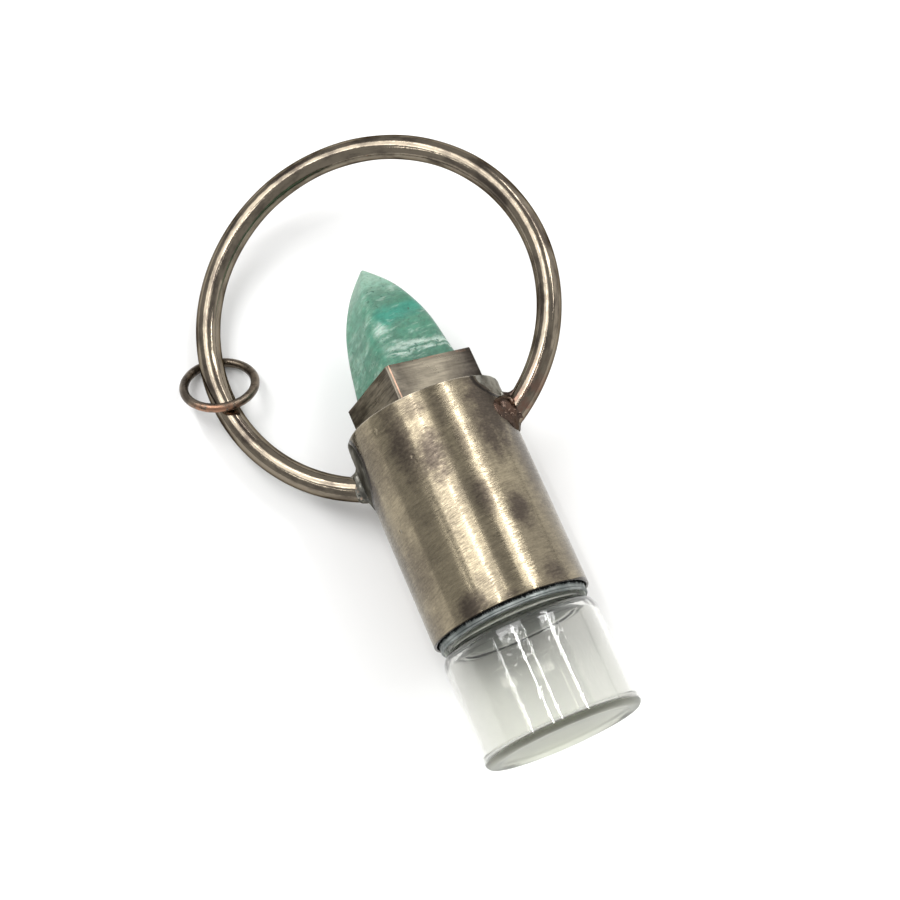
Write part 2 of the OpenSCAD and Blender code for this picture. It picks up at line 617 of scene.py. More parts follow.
class SharedEffects:
    """The node groups that several finishes use, each built once."""

    def __init__(self, pose: LyingPose) -> None:
        """Builds the groups.

        Args:
            pose: how the pendant lies.
        """
        self.pose = pose
        self.upright = self.build_upright()
        self.hoop_line = self.build_hoop_line()
        self.brushed = self.build_brushed()
        self.patch = self.build_patch()
        self.combed = self.build_combed()

    def build_upright(self) -> bpy.types.NodeTree:
        """Builds the group that turns object coordinates back to the upright pendant in mm.

        Returns:
            The group, which puts out the place, the angle round the axis, the height and the
            distance from the axis.
        """
        board = GroupBoard(
            "upright_place", {}, [("Place", "NodeSocketVector"), "Angle", "Height", "Radius"]
        )
        pose = self.pose
        place = board.put(
            "Mapping",
            {
                "Vector": board.put("TexCoord").outputs["Object"],
                "Location": (-pose.middle_x * MM, -pose.middle_z * MM, pose.lift * MM),
                "Rotation": (math.radians(-90), math.radians(-pose.roll), 0),
                "Scale": (MM, MM, MM),
            },
            vector_type="TEXTURE",
        ).outputs[0]
        parts = board.split(place)
        angle = board.math("ARCTAN2", parts[1], parts[0])
        flat = board.put("CombineXYZ", {0: parts[0], 1: parts[1]}).outputs[0]
        length = board.vector("LENGTH", flat)["Value"]
        board.out("Place", place)
        board.out("Angle", board.math("DEGREES", angle))
        board.out("Height", parts[2])
        board.out("Radius", length)
        return board.tree

    def build_hoop_line(self) -> bpy.types.NodeTree:
        """Builds the group that follows the hoop's wire.

        Returns:
            The group, which puts out a place along and across the wire, and the clock angle
            from the hoop's top in degrees, more to the right.
        """
        board = GroupBoard(
            "hoop_line",
            {"Place": (0, 0, 0), "Centre": (0, 0, 0), "Hoop radius": 25.0},
            [("Line", "NodeSocketVector"), "Clock"],
        )
        from_centre = board.vector("SUBTRACT", board.give("Place"), board.give("Centre"))[0]
        parts = board.split(from_centre)
        clock = board.math("ARCTAN2", parts[0], parts[2])
        flat = board.put("CombineXYZ", {0: parts[0], 2: parts[2]}).outputs[0]
        reach = board.vector("LENGTH", flat)["Value"]
        line = board.put(
            "CombineXYZ",
            {
                0: board.times(clock, board.give("Hoop radius")),
                1: board.minus(reach, board.give("Hoop radius")),
                2: parts[1],
            },
        )
        board.out("Line", line.outputs[0])
        board.out("Clock", board.math("DEGREES", clock))
        return board.tree

    def build_brushed(self) -> bpy.types.NodeTree:
        """Builds the group of fine lines that a brush or emery leaves.

        Returns:
            The group, which puts out the lines, fine and coarse ones together.
        """
        board = GroupBoard("brushed_lines", {"Place": (0, 0, 0), "Stretch": (1, 1, 1)}, ["Lines"])
        place = board.vector("MULTIPLY", board.give("Place"), board.give("Stretch"))[0]
        fine = board.cloud(place, 1.0, 3.0, 0.65)
        coarse = board.grain(place, (0.3, 0.3, 0.3), 2.0, 0.5)
        both = board.plus(board.times(fine, 0.6), board.times(coarse, 0.4))
        board.out("Lines", both)
        return board.tree

    def build_patch(self) -> bpy.types.NodeTree:
        """Builds the group that masks one soft-edged patch on the sleeve.

        Returns:
            The group, which puts out 1 inside the patch and 0 outside it, and the distance from
            the patch's middle, 1 at its edge.
        """
        board = GroupBoard(
            "patch",
            {
                "Angle": 0.0,
                "Height": 0.0,
                "Ragged": 0.5,
                "Centre angle": 0.0,
                "Centre height": 0.0,
                "Half angle": 8.0,
                "Half height": 2.0,
                "Strength": 1.0,
            },
            ["Mask", "Far"],
        )
        across = board.minus(board.give("Angle"), board.give("Centre angle"))
        across = board.math("WRAP", across, 180.0, -180.0)
        across = board.math("DIVIDE", across, board.give("Half angle"))
        along = board.minus(board.give("Height"), board.give("Centre height"))
        along = board.math("DIVIDE", along, board.give("Half height"))
        far = board.plus(board.times(across, across), board.times(along, along))
        far = board.math("SQRT", far)
        ragged = board.scaled(board.give("Ragged"), 1.6, -0.8)
        board.out("Far", far)
        mask = board.ramp(board.plus(far, ragged), 1.35, 0.25)
        board.out("Mask", board.times(mask, board.give("Strength")))
        return board.tree

    def build_combed(self) -> bpy.types.NodeTree:
        """Builds the group that tips the normal round the pendant's axis along each brushed line.

        Returns:
            The group, which puts out the normal.
        """
        board = GroupBoard(
            "combed_normal", {"Lines": 0.5, "Amount": 0.1}, [("Normal", "NodeSocketVector")]
        )
        normal = board.put("NewGeometry").outputs["Normal"]
        round_axis = board.vector("CROSS_PRODUCT", (0, 1, 0), normal)[0]
        tip = board.times(board.minus(board.give("Lines"), 0.5), board.give("Amount"))
        moved = board.vector("ADD", board.tint(round_axis, tip), normal)[0]
        board.out("Normal", board.vector("NORMALIZE", moved)[0])
        return board.tree


@dataclass(frozen=True)
class Patch:
    """A patch of tarnish, of wear or of painted shade on the sleeve, by angle in degrees and
    height in mm.
    """

    angle: float
    height: float
    half_angle: float
    half_height: float
    strength: float = 1.0


SOLDER_PADS = (Patch(-7.7, 30.6, 26.6, 2.95), Patch(-170.0, 26.5, 25, 5.2))


class MaterialBoard(NodeBoard):
    """A new material with one Principled shader, ready to be fed."""

    def __init__(self, name: str, effects: SharedEffects) -> None:
        """Starts the material.

        Args:
            name: the material's name.
            effects: the shared node groups.
        """
        self.material = bpy.data.materials.new(name)
        self.material.use_nodes = True
        super().__init__(self.material.node_tree)
        self.shader = self.tree.nodes["Principled BSDF"]
        self.shader.location = (1400, 0)
        self.tree.nodes["Material Output"].location = (1700, 0)
        self.effects = effects
        outputs = self.group(effects.upright).outputs
        self.place, self.angle = outputs["Place"], outputs["Angle"]
        self.height, self.radius = outputs["Height"], outputs["Radius"]

    def group(self, tree: bpy.types.NodeTree, inputs: dict | None = None) -> bpy.types.Node:
        """Places a shared group in this material.

        Args:
            tree: the group.
            inputs: socket name to a value or a socket.

        Returns:
            The group's node.
        """
        return self.put("Group", inputs, node_tree=tree, name=tree.name)

    def brushed(self, place: object, scale: Sequence[float]) -> Socket:
        """Returns: the shared brushed lines, scaled along each axis."""
        inputs = {"Place": place, "Stretch": tuple(scale)}
        return self.group(self.effects.brushed, inputs).outputs["Lines"]

    def spot(self, patch: Patch, ragged: object) -> bpy.types.Node:
        """Masks one patch.

        Args:
            patch: the patch.
            ragged: the noise that breaks up its edge, 0.5 for a smooth one.

        Returns:
            The patch group's node.
        """
        return self.group(
            self.effects.patch,
            {
                "Angle": self.angle,
                "Height": self.height,
                "Ragged": ragged,
                "Centre angle": patch.angle,
                "Centre height": patch.height,
                "Half angle": patch.half_angle,
                "Half height": patch.half_height,
                "Strength": patch.strength,
            },
        )

    def surface(self, **values: object) -> None:
        """Feeds the shader's sockets.

        Args:
            values: socket name, with underscores for spaces, to a value or a socket.
        """
        for key, value in values.items():
            self.feed(self.shader.inputs[key.replace("_", " ")], value)

    def metal(self, base: Socket, rough: Socket, normal: Socket, edge: Colour) -> None:
        """Makes the surface a metal.

        Args:
            base: the colour.
            rough: the roughness.
            normal: the normal.
            edge: the tint of its edges, seen at a glancing angle.
        """
        self.surface(
            Base_Color=base, Metallic=1.0, Roughness=rough, Normal=normal, Specular_Tint=edge
        )

    def bump(
        self, height: object, distance: float, strength: float = 1.0, under: object = None
    ) -> Socket:
        """Adds a Bump node.

        Args:
            height: the height, from 0 to 1.
            distance: what a height of 1 stands for, in metres.
            strength: how strong the bump is.
            under: the normal of a bump below this one.

        Returns:
            The bumped normal.
        """
        inputs = {"Height": height, "Distance": distance, "Strength": strength}
        if under is not None:
            inputs["Normal"] = under
        return self.put("Bump", inputs).outputs[0]


class Finish(ABC):
    """What one material looks like."""

    name: str

    @abstractmethod
    def paint(self, board: MaterialBoard) -> None:
        """Paints the finish on its board.

        Args:
            board: the material's board.
        """

    def build(self, effects: SharedEffects) -> bpy.types.Material:
        """Builds the material.

        Args:
            effects: the shared node groups.

        Returns:
            The material.
        """
        board = MaterialBoard(self.name, effects)
        self.paint(board)
        return board.material


@dataclass(frozen=True)
class BrushedBrass(Finish):
    """The sleeve: antique brass, brushed round its axis, with tarnish patches; some patches, the
    bore, the lower lip and lines round the solder pads are painted shade.
    """

    name: str = "brushed_brass"
    metal: Colour = (0.288, 0.245, 0.17)
    mellow: Colour = (0.222, 0.189, 0.134)
    # Tarnish colour, also used as painted shade where some patches dim the reflections.
    tarnish_and_shade: Colour = (0.075, 0.06, 0.05)
    rim: Colour = (0.45, 0.4, 0.32)
    # Painted shade colour for the bore, the lower lip's end and the lines round the solder pads.
    painted_shade: Colour = (0.025, 0.02, 0.017)
    brush_lean: float = 8.0
    anisotropy: float = 0.75
    tube_wall: Span = (10.8, 11.0)
    bore_wall: Span = (11.05, 10.95)
    heated_rows: Span = (14.0, 31.0)
    top_rows: Span = (30.55, 30.75)
    lip_rows: Span = (0.16, 0.06)
    plate_rows: Span = (29.0, 28.0)
    front_angle: float = -90.0
    # Tarnish patches; those at (-85, 28.8), (-64, 22), (-57, 18.5), (-12, 20), (-152, 12) and
    # (-150, 23.5) are painted shade that dims the reflections.
    patches: tuple[Patch, ...] = (
        Patch(-103, 24.5, 12, 6.5, 0.9),
        Patch(-86, 22.0, 14, 4.2, 1.0),
        Patch(-85, 28.8, 11, 2.6, 0.65),
        Patch(-66, 14.2, 8, 3.8, 0.85),
        Patch(-70, 27.5, 6, 3.5, 0.5),
        Patch(-64, 22, 5, 4.0, 0.6),
        Patch(-44, 10.9, 10, 3.2, 1.0),
        Patch(-34, 26, 19, 8.0, 1.0),
        Patch(-41, 22.5, 9, 5.0, 1.0),
        Patch(-12, 20, 15, 14.0, 0.75),
        Patch(-132, 25, 14, 6.0, 0.5),
        Patch(-152, 12, 13, 8.0, 0.5),
        Patch(-57, 18.5, 5, 6.0, 0.4),
        Patch(-104, 1.2, 13, 2.0, 1.0),
        Patch(-75, 0.6, 8, 0.8, 0.7),
        Patch(-38, 1.6, 12, 2.2, 0.8),
        Patch(-135, 9, 14, 5.5, 0.5),
        Patch(-145, 2, 18, 2.5, 0.5),
        Patch(-10, 5, 15, 5.5, 0.4),
        Patch(-150, 23.5, 13, 7.0, 0.85),
        Patch(28, 14, 18, 7.0, 0.6),
        Patch(75, 22, 30, 6.0, 0.7),
        Patch(120, 7, 25, 5.0, 0.7),
        Patch(165, 18, 22, 6.0, 0.6),
    )
    pits: tuple[Patch, ...] = (
        Patch(-99, 22.9, 1.3, 0.3),
        Patch(-98, 22.0, 1.0, 0.25),
        Patch(-118, 28.6, 1.6, 0.35),
        Patch(-134, 15.2, 1.2, 0.3),
    )

    def masks(self, board: MaterialBoard, places: Sequence[Patch], ragged: object) -> Socket:
        """Joins the masks of several patches.

        Args:
            board: the material's board.
            places: the patches.
            ragged: the noise that breaks up their edges.

        Returns:
            The joined mask.
        """
        return reduce(board.most, [board.spot(spot, ragged).outputs["Mask"] for spot in places])

    def pad_shadow_lines(self, board: MaterialBoard, ragged: object) -> Socket:
        """Draws the painted shadow line round each pad of solder.

        Args:
            board: the material's board.
            ragged: the noise that makes the line thick and thin.

        Returns:
            The mask of the lines.
        """
        wave = board.scaled(ragged, 0.16, -0.13)
        edges = [board.plus(board.spot(pad, 0.5).outputs["Far"], wave) for pad in SOLDER_PADS]
        return reduce(board.most, [board.ramp(board.off(edge, 1.0), 0.1, 0.03) for edge in edges])

    def paint(self, board: MaterialBoard) -> None:
        """Paints the finish on its board.

        Args:
            board: the material's board.
        """
        place, height = board.place, board.height
        tilted = board.mapped(place, Rotation=(0, math.radians(self.brush_lean), 0))
        lines = board.brushed(tilted, (1.2, 1.2, 9.0))
        hairs = board.grain(tilted, (1.1, 1.1, 7.5), 3.0, 0.65)
        grain = board.grain(place, (2.6, 2.6, 4.0), 2.0, 0.6)
        cloudy = board.grain(place, (0.16, 0.16, 0.1), 4.0, 0.55)
        ragged = board.grain(place, (0.5, 0.5, 0.7), 6.0, 0.7)
        base = board.mix(board.ramp(cloudy, 0.38, 0.64), self.metal, self.mellow)
        # Tarnish mask, partly painted shade where a patch dims the reflections.
        stain_and_shade = self.masks(board, self.patches, ragged)
        faint = board.ramp(board.grain(place, (0.3, 0.3, 0.22), 6.0, 0.65, 0.4), 0.46, 0.72)
        heated = board.ramp(height, *self.heated_rows, 0.35, 0.7)
        stain_and_shade = board.most(stain_and_shade, board.times(faint, heated))
        on_tube = board.ramp(board.radius, *self.tube_wall)
        stain_and_shade = board.mix(on_tube, faint, stain_and_shade)
        mottled = board.math("MULTIPLY_ADD", board.minus(grain, 0.5), 0.9, stain_and_shade, clamp=True)
        base = board.mix(board.times(mottled, 0.92), base, self.tarnish_and_shade)
        base = board.tint(base, board.ramp(lines, 0.3, 0.7, 0.76, 1.2))
        top_rim = board.ramp(height, *self.top_rows)
        base = board.mix(board.times(top_rim, 0.8), base, self.rim)
        # Painted shade: darkens the inside of the bore, the lower lip's end face and the lines
        # round the solder pads.
        aside = board.off(board.angle, self.front_angle)
        above_lip = board.minus(height, board.ramp(aside, 60.0, 84.0, 0.0, 0.35))
        bore_shade = board.ramp(board.radius, *self.bore_wall)
        lip_shade = board.most(board.ramp(above_lip, *self.lip_rows), bore_shade)
        lip_shade = board.times(lip_shade, board.ramp(height, *self.plate_rows))
        painted_shade_mask = board.most(lip_shade, board.times(self.pad_shadow_lines(board, ragged), on_tube))
        base = board.mix(board.times(painted_shade_mask, 0.9), base, self.painted_shade)
        rough = board.scaled(stain_and_shade, 0.16, board.ramp(hairs, 0.32, 0.68, 0.13, 0.33))
        dents = self.masks(board, self.pits, board.cloud(place, 2.0, 1.0))
        combed = board.group(board.effects.combed, {"Lines": hairs, "Amount": 0.1})
        normal = combed.outputs["Normal"]
        normal = board.bump(lines, 0.00001, 0.3, normal)
        normal = board.bump(board.minus(1.0, dents), 0.00015, 0.6, normal)
        tangent = board.put("Tangent", direction_type="UV_MAP", uv_map="brush").outputs[0]
        board.surface(
            Base_Color=base,
            Metallic=1.0,
            Roughness=rough,
            Normal=normal,
            Anisotropic=self.anisotropy,
            Tangent=tangent,
        )


@dataclass(frozen=True)
class WornWire(Finish):
    """The hoop: smooth darkened brass with drawn lines, and bare purplish copper by its joint."""

    name: str = "worn_wire"
    metal: Colour = (0.225, 0.192, 0.147)
    dark: Colour = (0.075, 0.062, 0.05)
    copper: Colour = (0.2, 0.125, 0.094)
    edge: Colour = (0.3, 0.29, 0.28)
    centre: Place = HOOP_CENTRE
    radius: float = HOOP_R
    joint_clock: Span = (128.0, 148.0)

    def paint(self, board: MaterialBoard) -> None:
        """Paints the finish on its board.

        Args:
            board: the material's board.
        """
        hoop = board.group(
            board.effects.hoop_line,
            {"Place": board.place, "Centre": self.centre, "Hoop radius": self.radius},
        )
        line, clock = hoop.outputs["Line"], hoop.outputs["Clock"]
        drawn = board.brushed(line, (0.12, 3.2, 3.2))
        cloudy = board.grain(line, (0.2, 0.5, 0.5), 4.0, 0.6)
        base = board.mix(board.ramp(cloudy, 0.4, 0.7), self.metal, self.dark)
        base = board.mix(board.ramp(drawn, 0.56, 0.72, 0.0, 0.6), base, self.dark)
        rubbed = board.grain(line, (0.5, 0.9, 0.9), 4.0, 0.65)
        near_joint = board.ramp(clock, *self.joint_clock)
        worn = board.times(near_joint, board.ramp(rubbed, 0.4, 0.6))
        specks = board.ramp(rubbed, 0.63, 0.72, 0.0, 0.45)
        base = board.mix(board.most(worn, specks), base, self.copper)
        rough = board.ramp(cloudy, 0.35, 0.7, 0.1, 0.17)
        normal = board.bump(drawn, 0.00002, 0.5)
        normal = board.bump(cloudy, 0.00012, 0.35, normal)
        board.metal(base, rough, normal, self.edge)


@dataclass(frozen=True)
class LumpySolder(Finish):
    """The solder at the hoop's ends: smooth grey pads and a coppery lump on the right, with
    painted glints on the lump and the left wire end, and painted shade round the pads.
    """

    name: str = "lumpy_solder"
    grey: Colour = (0.34, 0.33, 0.29)
    dull: Colour = (0.19, 0.185, 0.16)
    brown: Colour = (0.066, 0.047, 0.038)
    copper: Colour = (0.09, 0.056, 0.042)
    # Painted glint colour for the sparkles and the bead.
    glint: Colour = (0.55, 0.4, 0.31)
    # Painted shade colour for the crotch at the left wire's end and the lines round the pads.
    painted_shade: Colour = (0.03, 0.03, 0.027)
    edge: Colour = (0.5, 0.48, 0.45)
    bead_glint: Place = (12.7, -2.1, 26.6)
    bead_glint_reach: Span = (0.95, 0.5)
    lump_reach: Span = (11.45, 11.7)
    end_x: Span = (-11.9, -12.4)
    rim_height: float = 24.8
    warm_patch: Patch = Patch(-19.0, 25.3, 13.0, 1.5)

    def paint(self, board: MaterialBoard) -> None:
        """Paints the finish on its board.

        Args:
            board: the material's board.
        """
        place = board.place
        parts = board.split(place)
        lumps = board.cloud(place, 0.7, 4.0, 0.55)
        grains = board.cloud(place, 2.6, 3.0, 0.6)
        wave = board.scaled(lumps, 0.2, -0.1)
        on_right = board.ramp(parts[0], 0.0, 1.0)
        on_left = board.minus(1.0, on_right)
        right = board.plus(board.spot(SOLDER_PADS[0], 0.5).outputs["Far"], wave)
        left = board.plus(board.spot(SOLDER_PADS[1], 0.5).outputs["Far"], wave)
        standing = board.ramp(board.radius, *self.lump_reach)
        beyond = board.most(board.ramp(right, 1.0, 1.06), standing)
        coppery = board.times(on_right, beyond)
        shade = board.ramp(lumps, 0.38, 0.62)
        base = board.mix(shade, self.grey, self.dull)
        base = board.mix(on_right, board.tint(base, 0.9), base)
        near = board.spot(self.warm_patch, lumps).outputs["Mask"]
        warm = board.mix(board.times(near, board.ramp(lumps, 0.65, 0.45)), self.brown, self.copper)
        base = board.mix(coppery, base, warm)
        # Painted glints: bright specks on the lump's lower rim and the left wire's end, and a
        # glint on the bead.
        low_rim = board.ramp(board.off(parts[2], self.rim_height), 0.55, 0.15)
        bead_glint = board.ramp(board.vector("DISTANCE", place, self.bead_glint)["Value"], *self.bead_glint_reach)
        left_end = board.times(on_left, board.ramp(parts[0], *self.end_x))
        glint_zone = board.most(board.times(low_rim, coppery), board.times(left_end, 0.8))
        specks = board.times(board.ramp(grains, 0.56, 0.64), board.most(glint_zone, 0.05))
        base = board.mix(board.most(specks, board.times(bead_glint, 0.55)), base, self.glint)
        # Dark pits at the left wire's end, partly painted shade of the crotch there.
        pits = board.times(board.ramp(grains, 0.46, 0.38), left_end)
        base = board.mix(pits, base, self.painted_shade)
        # Painted shade: dark lines round both pads, and the left pad's lower part darkened.
        right_pad_shade = board.ramp(board.off(right, 1.02), 0.07, 0.02)
        right_pad_shade = board.times(right_pad_shade, board.ramp(board.radius, 12.2, 11.7))
        left_pad_shade = board.ramp(parts[2], 26.8, 25.0, 0.0, 0.75)
        left_pad_shade = board.most(board.ramp(left, 0.75, 0.93), left_pad_shade)
        left_pad_shade = board.times(left_pad_shade, board.minus(1.0, left_end))
        line = board.most(board.times(right_pad_shade, on_right), board.times(left_pad_shade, on_left))
        base = board.mix(board.times(line, 0.8), base, self.painted_shade)
        rough = board.scaled(coppery, -0.08, board.ramp(grains, 0.3, 0.7, 0.28, 0.42))
        normal = board.bump(lumps, 0.0002, 0.3)
        normal = board.bump(grains, 0.00006, board.scaled(coppery, 0.6, 0.15), normal)
        board.metal(base, rough, normal, self.edge)


@dataclass(frozen=True)
class ScratchedCollar(Finish):
    """The square collar: scratched brass with copper rubbed bare on its edges, and painted shade
    towards the ends of its faces and its near corner.
    """

    name: str = "scratched_collar"
    metal: Colour = (0.28, 0.247, 0.19)
    dark: Colour = (0.07, 0.06, 0.051)
    pale: Colour = (0.24, 0.21, 0.17)
    copper: Colour = (0.34, 0.21, 0.15)
    edge: Colour = (0.4, 0.39, 0.38)
    side: float = COLLAR_SIDE
    turn: float = COLLAR_TURN
    top: float = COLLAR_TOP
    flat: Span = (0.62, 0.52)
    diagonal: float = 0.707
    copper_at: float = 0.2
    pale_at: float = -0.22

    def paint(self, board: MaterialBoard) -> None:
        """Paints the finish on its board.

        Args:
            board: the material's board.
        """
        place = board.mapped(board.place, Rotation=(0, 0, math.radians(-self.turn)))
        parts = board.split(place)
        scratches = board.brushed(place, (0.3, 0.3, 4.5))
        cloudy = board.grain(place, (0.25, 0.25, 0.3), 4.0, 0.6)
        along = board.plus(board.plus(parts[0], parts[1]), self.side / 2)
        # Painted shade: each face darkens towards its outer end, less on the left face, and
        # towards the near corner.
        shade_to_end = board.ramp(along, 0.5, 6.6)
        shade_to_corner = board.ramp(along, -3.0, -6.5, 0.0, 0.5)
        left_face = board.ramp(board.minus(parts[1], parts[0]), 0.4, 0.8)
        shade_to_end = board.times(shade_to_end, board.scaled(left_face, -0.35, 1.0))
        clouds = board.ramp(cloudy, 0.42, 0.7, 0.0, 0.35)
        shade = board.math("ADD", board.most(shade_to_end, shade_to_corner), clouds, clamp=True)
        base = board.mix(shade, self.metal, self.dark)
        base = board.tint(base, board.ramp(scratches, 0.3, 0.7, 0.68, 1.24))
        streaky = board.ramp(scratches, 0.38, 0.58, 0.52, 0.95)
        base = board.mix(left_face, base, board.tint(base, streaky))
        # Painted shade: darker again towards the near corner.
        base = board.mix(board.ramp(along, -1.5, -5.5, 0.0, 0.45), base, board.tint(base, 0.6))
        both = board.plus(board.math("ABSOLUTE", parts[0]), board.math("ABSOLUTE", parts[1]))
        on_flat = board.ramp(both, *(self.side - depth for depth in self.flat))
        over = board.times(board.minus(parts[0], parts[1]), self.diagonal)
        rubbed = board.grain(place, (1.2, 1.2, 0.8), 4.0, 0.6)
        copper_line = board.ramp(board.off(over, self.copper_at), 0.11, 0.05)
        pale_line = board.ramp(board.off(over, self.pale_at), 0.09, 0.04)
        copper_line = board.times(copper_line, board.ramp(rubbed, 0.35, 0.55, 0.3, 0.9))
        in_front = board.times(on_flat, board.ramp(along, -5.5, -6.0))
        base = board.mix(board.times(in_front, 0.5), base, board.tint(self.metal, 0.36))
        base = board.mix(board.times(in_front, pale_line), base, self.pale)
        base = board.mix(board.times(in_front, copper_line), base, self.copper)
        top_edge = board.ramp(parts[2], self.top - 0.2, self.top - 0.05)
        top_edge = board.times(top_edge, board.ramp(rubbed, 0.42, 0.6, 0.0, 0.45))
        base = board.mix(top_edge, base, self.copper)
        rough = board.ramp(cloudy, 0.3, 0.7, 0.26, 0.38)
        normal = board.bump(scratches, 0.00002, 0.7)
        normal = board.bump(cloudy, 0.00025, 0.4, normal)
        board.metal(base, rough, normal, self.edge)


@dataclass(frozen=True)
class CopperWire(Finish):
    """The jump ring: dark copper-brown wire, rubbed to orange copper where it touches."""

    name: str = "copper_wire"
    dark: Colour = (0.095, 0.078, 0.062)
    brown: Colour = (0.19, 0.155, 0.118)
    orange: Colour = (0.33, 0.18, 0.115)
    centre: Place = (-25.1, -0.14, 48.6)
    rubbed_side: Place = (-0.38, 0.0, -0.92)
    rubbed_aside: Span = (3.0, 4.4)
    outer_side: Span = (4.9, 5.4)

    def paint(self, board: MaterialBoard) -> None:
        """Paints the finish on its board.

        Args:
            board: the material's board.
        """
        place = board.place
        cloudy = board.cloud(place, 0.5, 4.0, 0.6)
        rubbed = board.cloud(place, 1.4, 4.0, 0.65)
        fine = board.cloud(place, 6.0, 2.0)
        base = board.mix(board.ramp(cloudy, 0.4, 0.62), self.dark, self.brown)
        out = board.vector("SUBTRACT", place, self.centre)[0]
        reach = board.vector("LENGTH", out)["Value"]
        aside = board.vector("DOT_PRODUCT", out, self.rubbed_side)["Value"]
        worn = board.ramp(aside, *self.rubbed_aside)
        worn = board.times(worn, board.ramp(reach, *self.outer_side))
        worn = board.times(worn, board.ramp(rubbed, 0.38, 0.54))
        worn = board.most(worn, board.ramp(rubbed, 0.62, 0.72, 0.0, 0.25))
        base = board.mix(worn, base, self.orange)
        rough = board.ramp(rubbed, 0.3, 0.7, 0.24, 0.38)
        normal = board.bump(rubbed, 0.0001, 0.3)
        normal = board.bump(fine, 0.00002, 0.4, normal)
        board.metal(base, rough, normal, (1.0, 1.0, 1.0))


@dataclass(frozen=True)
class CapAluminium(Finish):
    """The screw cap: bluish-grey aluminium, with painted shade in the knurl's grooves and a
    painted shadow just below the sleeve's rim.
    """

    name: str = "cap_aluminium"
    metal: Colour = (0.25, 0.27, 0.26)
    dull: Colour = (0.15, 0.168, 0.163)
    lining: Colour = (0.9, 0.93, 0.91)
    # Painted shade colour for the knurl's grooves and the gap below the sleeve's rim.
    painted_shade: Colour = (0.02, 0.023, 0.023)
    knurl_end: float = -0.2
    groove: Span = (10.57, 10.5)
    outer_wall: Span = (10.2, 10.3)
    seam_height: float = 0.8

    def paint(self, board: MaterialBoard) -> None:
        """Paints the finish on its board.

        Args:
            board: the material's board.
        """
        place = board.place
        turned = board.brushed(place, (0.5, 0.5, 7.0))
        cloudy = board.cloud(place, 0.6, 4.0, 0.6)
        base = board.mix(board.ramp(cloudy, 0.35, 0.65), self.metal, self.dull)
        base = board.tint(base, board.ramp(turned, 0.3, 0.7, 0.85, 1.12))
        # Painted shade in the knurl's grooves.
        in_groove = board.ramp(board.radius, *self.groove)
        above = board.ramp(board.height, self.knurl_end - 0.1, self.knurl_end)
        outside = board.ramp(board.radius, *self.outer_wall)
        groove_shade = board.times(board.times(in_groove, above), outside)
        base = board.mix(board.times(groove_shade, 0.9), base, self.painted_shade)
        # Painted shadow: a ragged dark line on the cap just below the sleeve's rim, in the gap
        # between them.
        seam_wobble = board.grain(place, (2.2, 2.2, 0.3), 3.0, 0.6)
        ragged = board.scaled(seam_wobble, 1.6, board.minus(board.height, self.seam_height))
        seam = board.times(board.ramp(ragged, -0.2, -0.06), outside)
        base = board.mix(seam, base, self.painted_shade)
        base = board.mix(outside, self.lining, base)
        rough = board.scaled(outside, -0.24, board.ramp(cloudy, 0.3, 0.7, 0.62, 0.78))
        normal = board.bump(turned, 0.00001, 0.5)
        board.surface(Base_Color=base, Metallic=outside, Roughness=rough, Normal=normal)


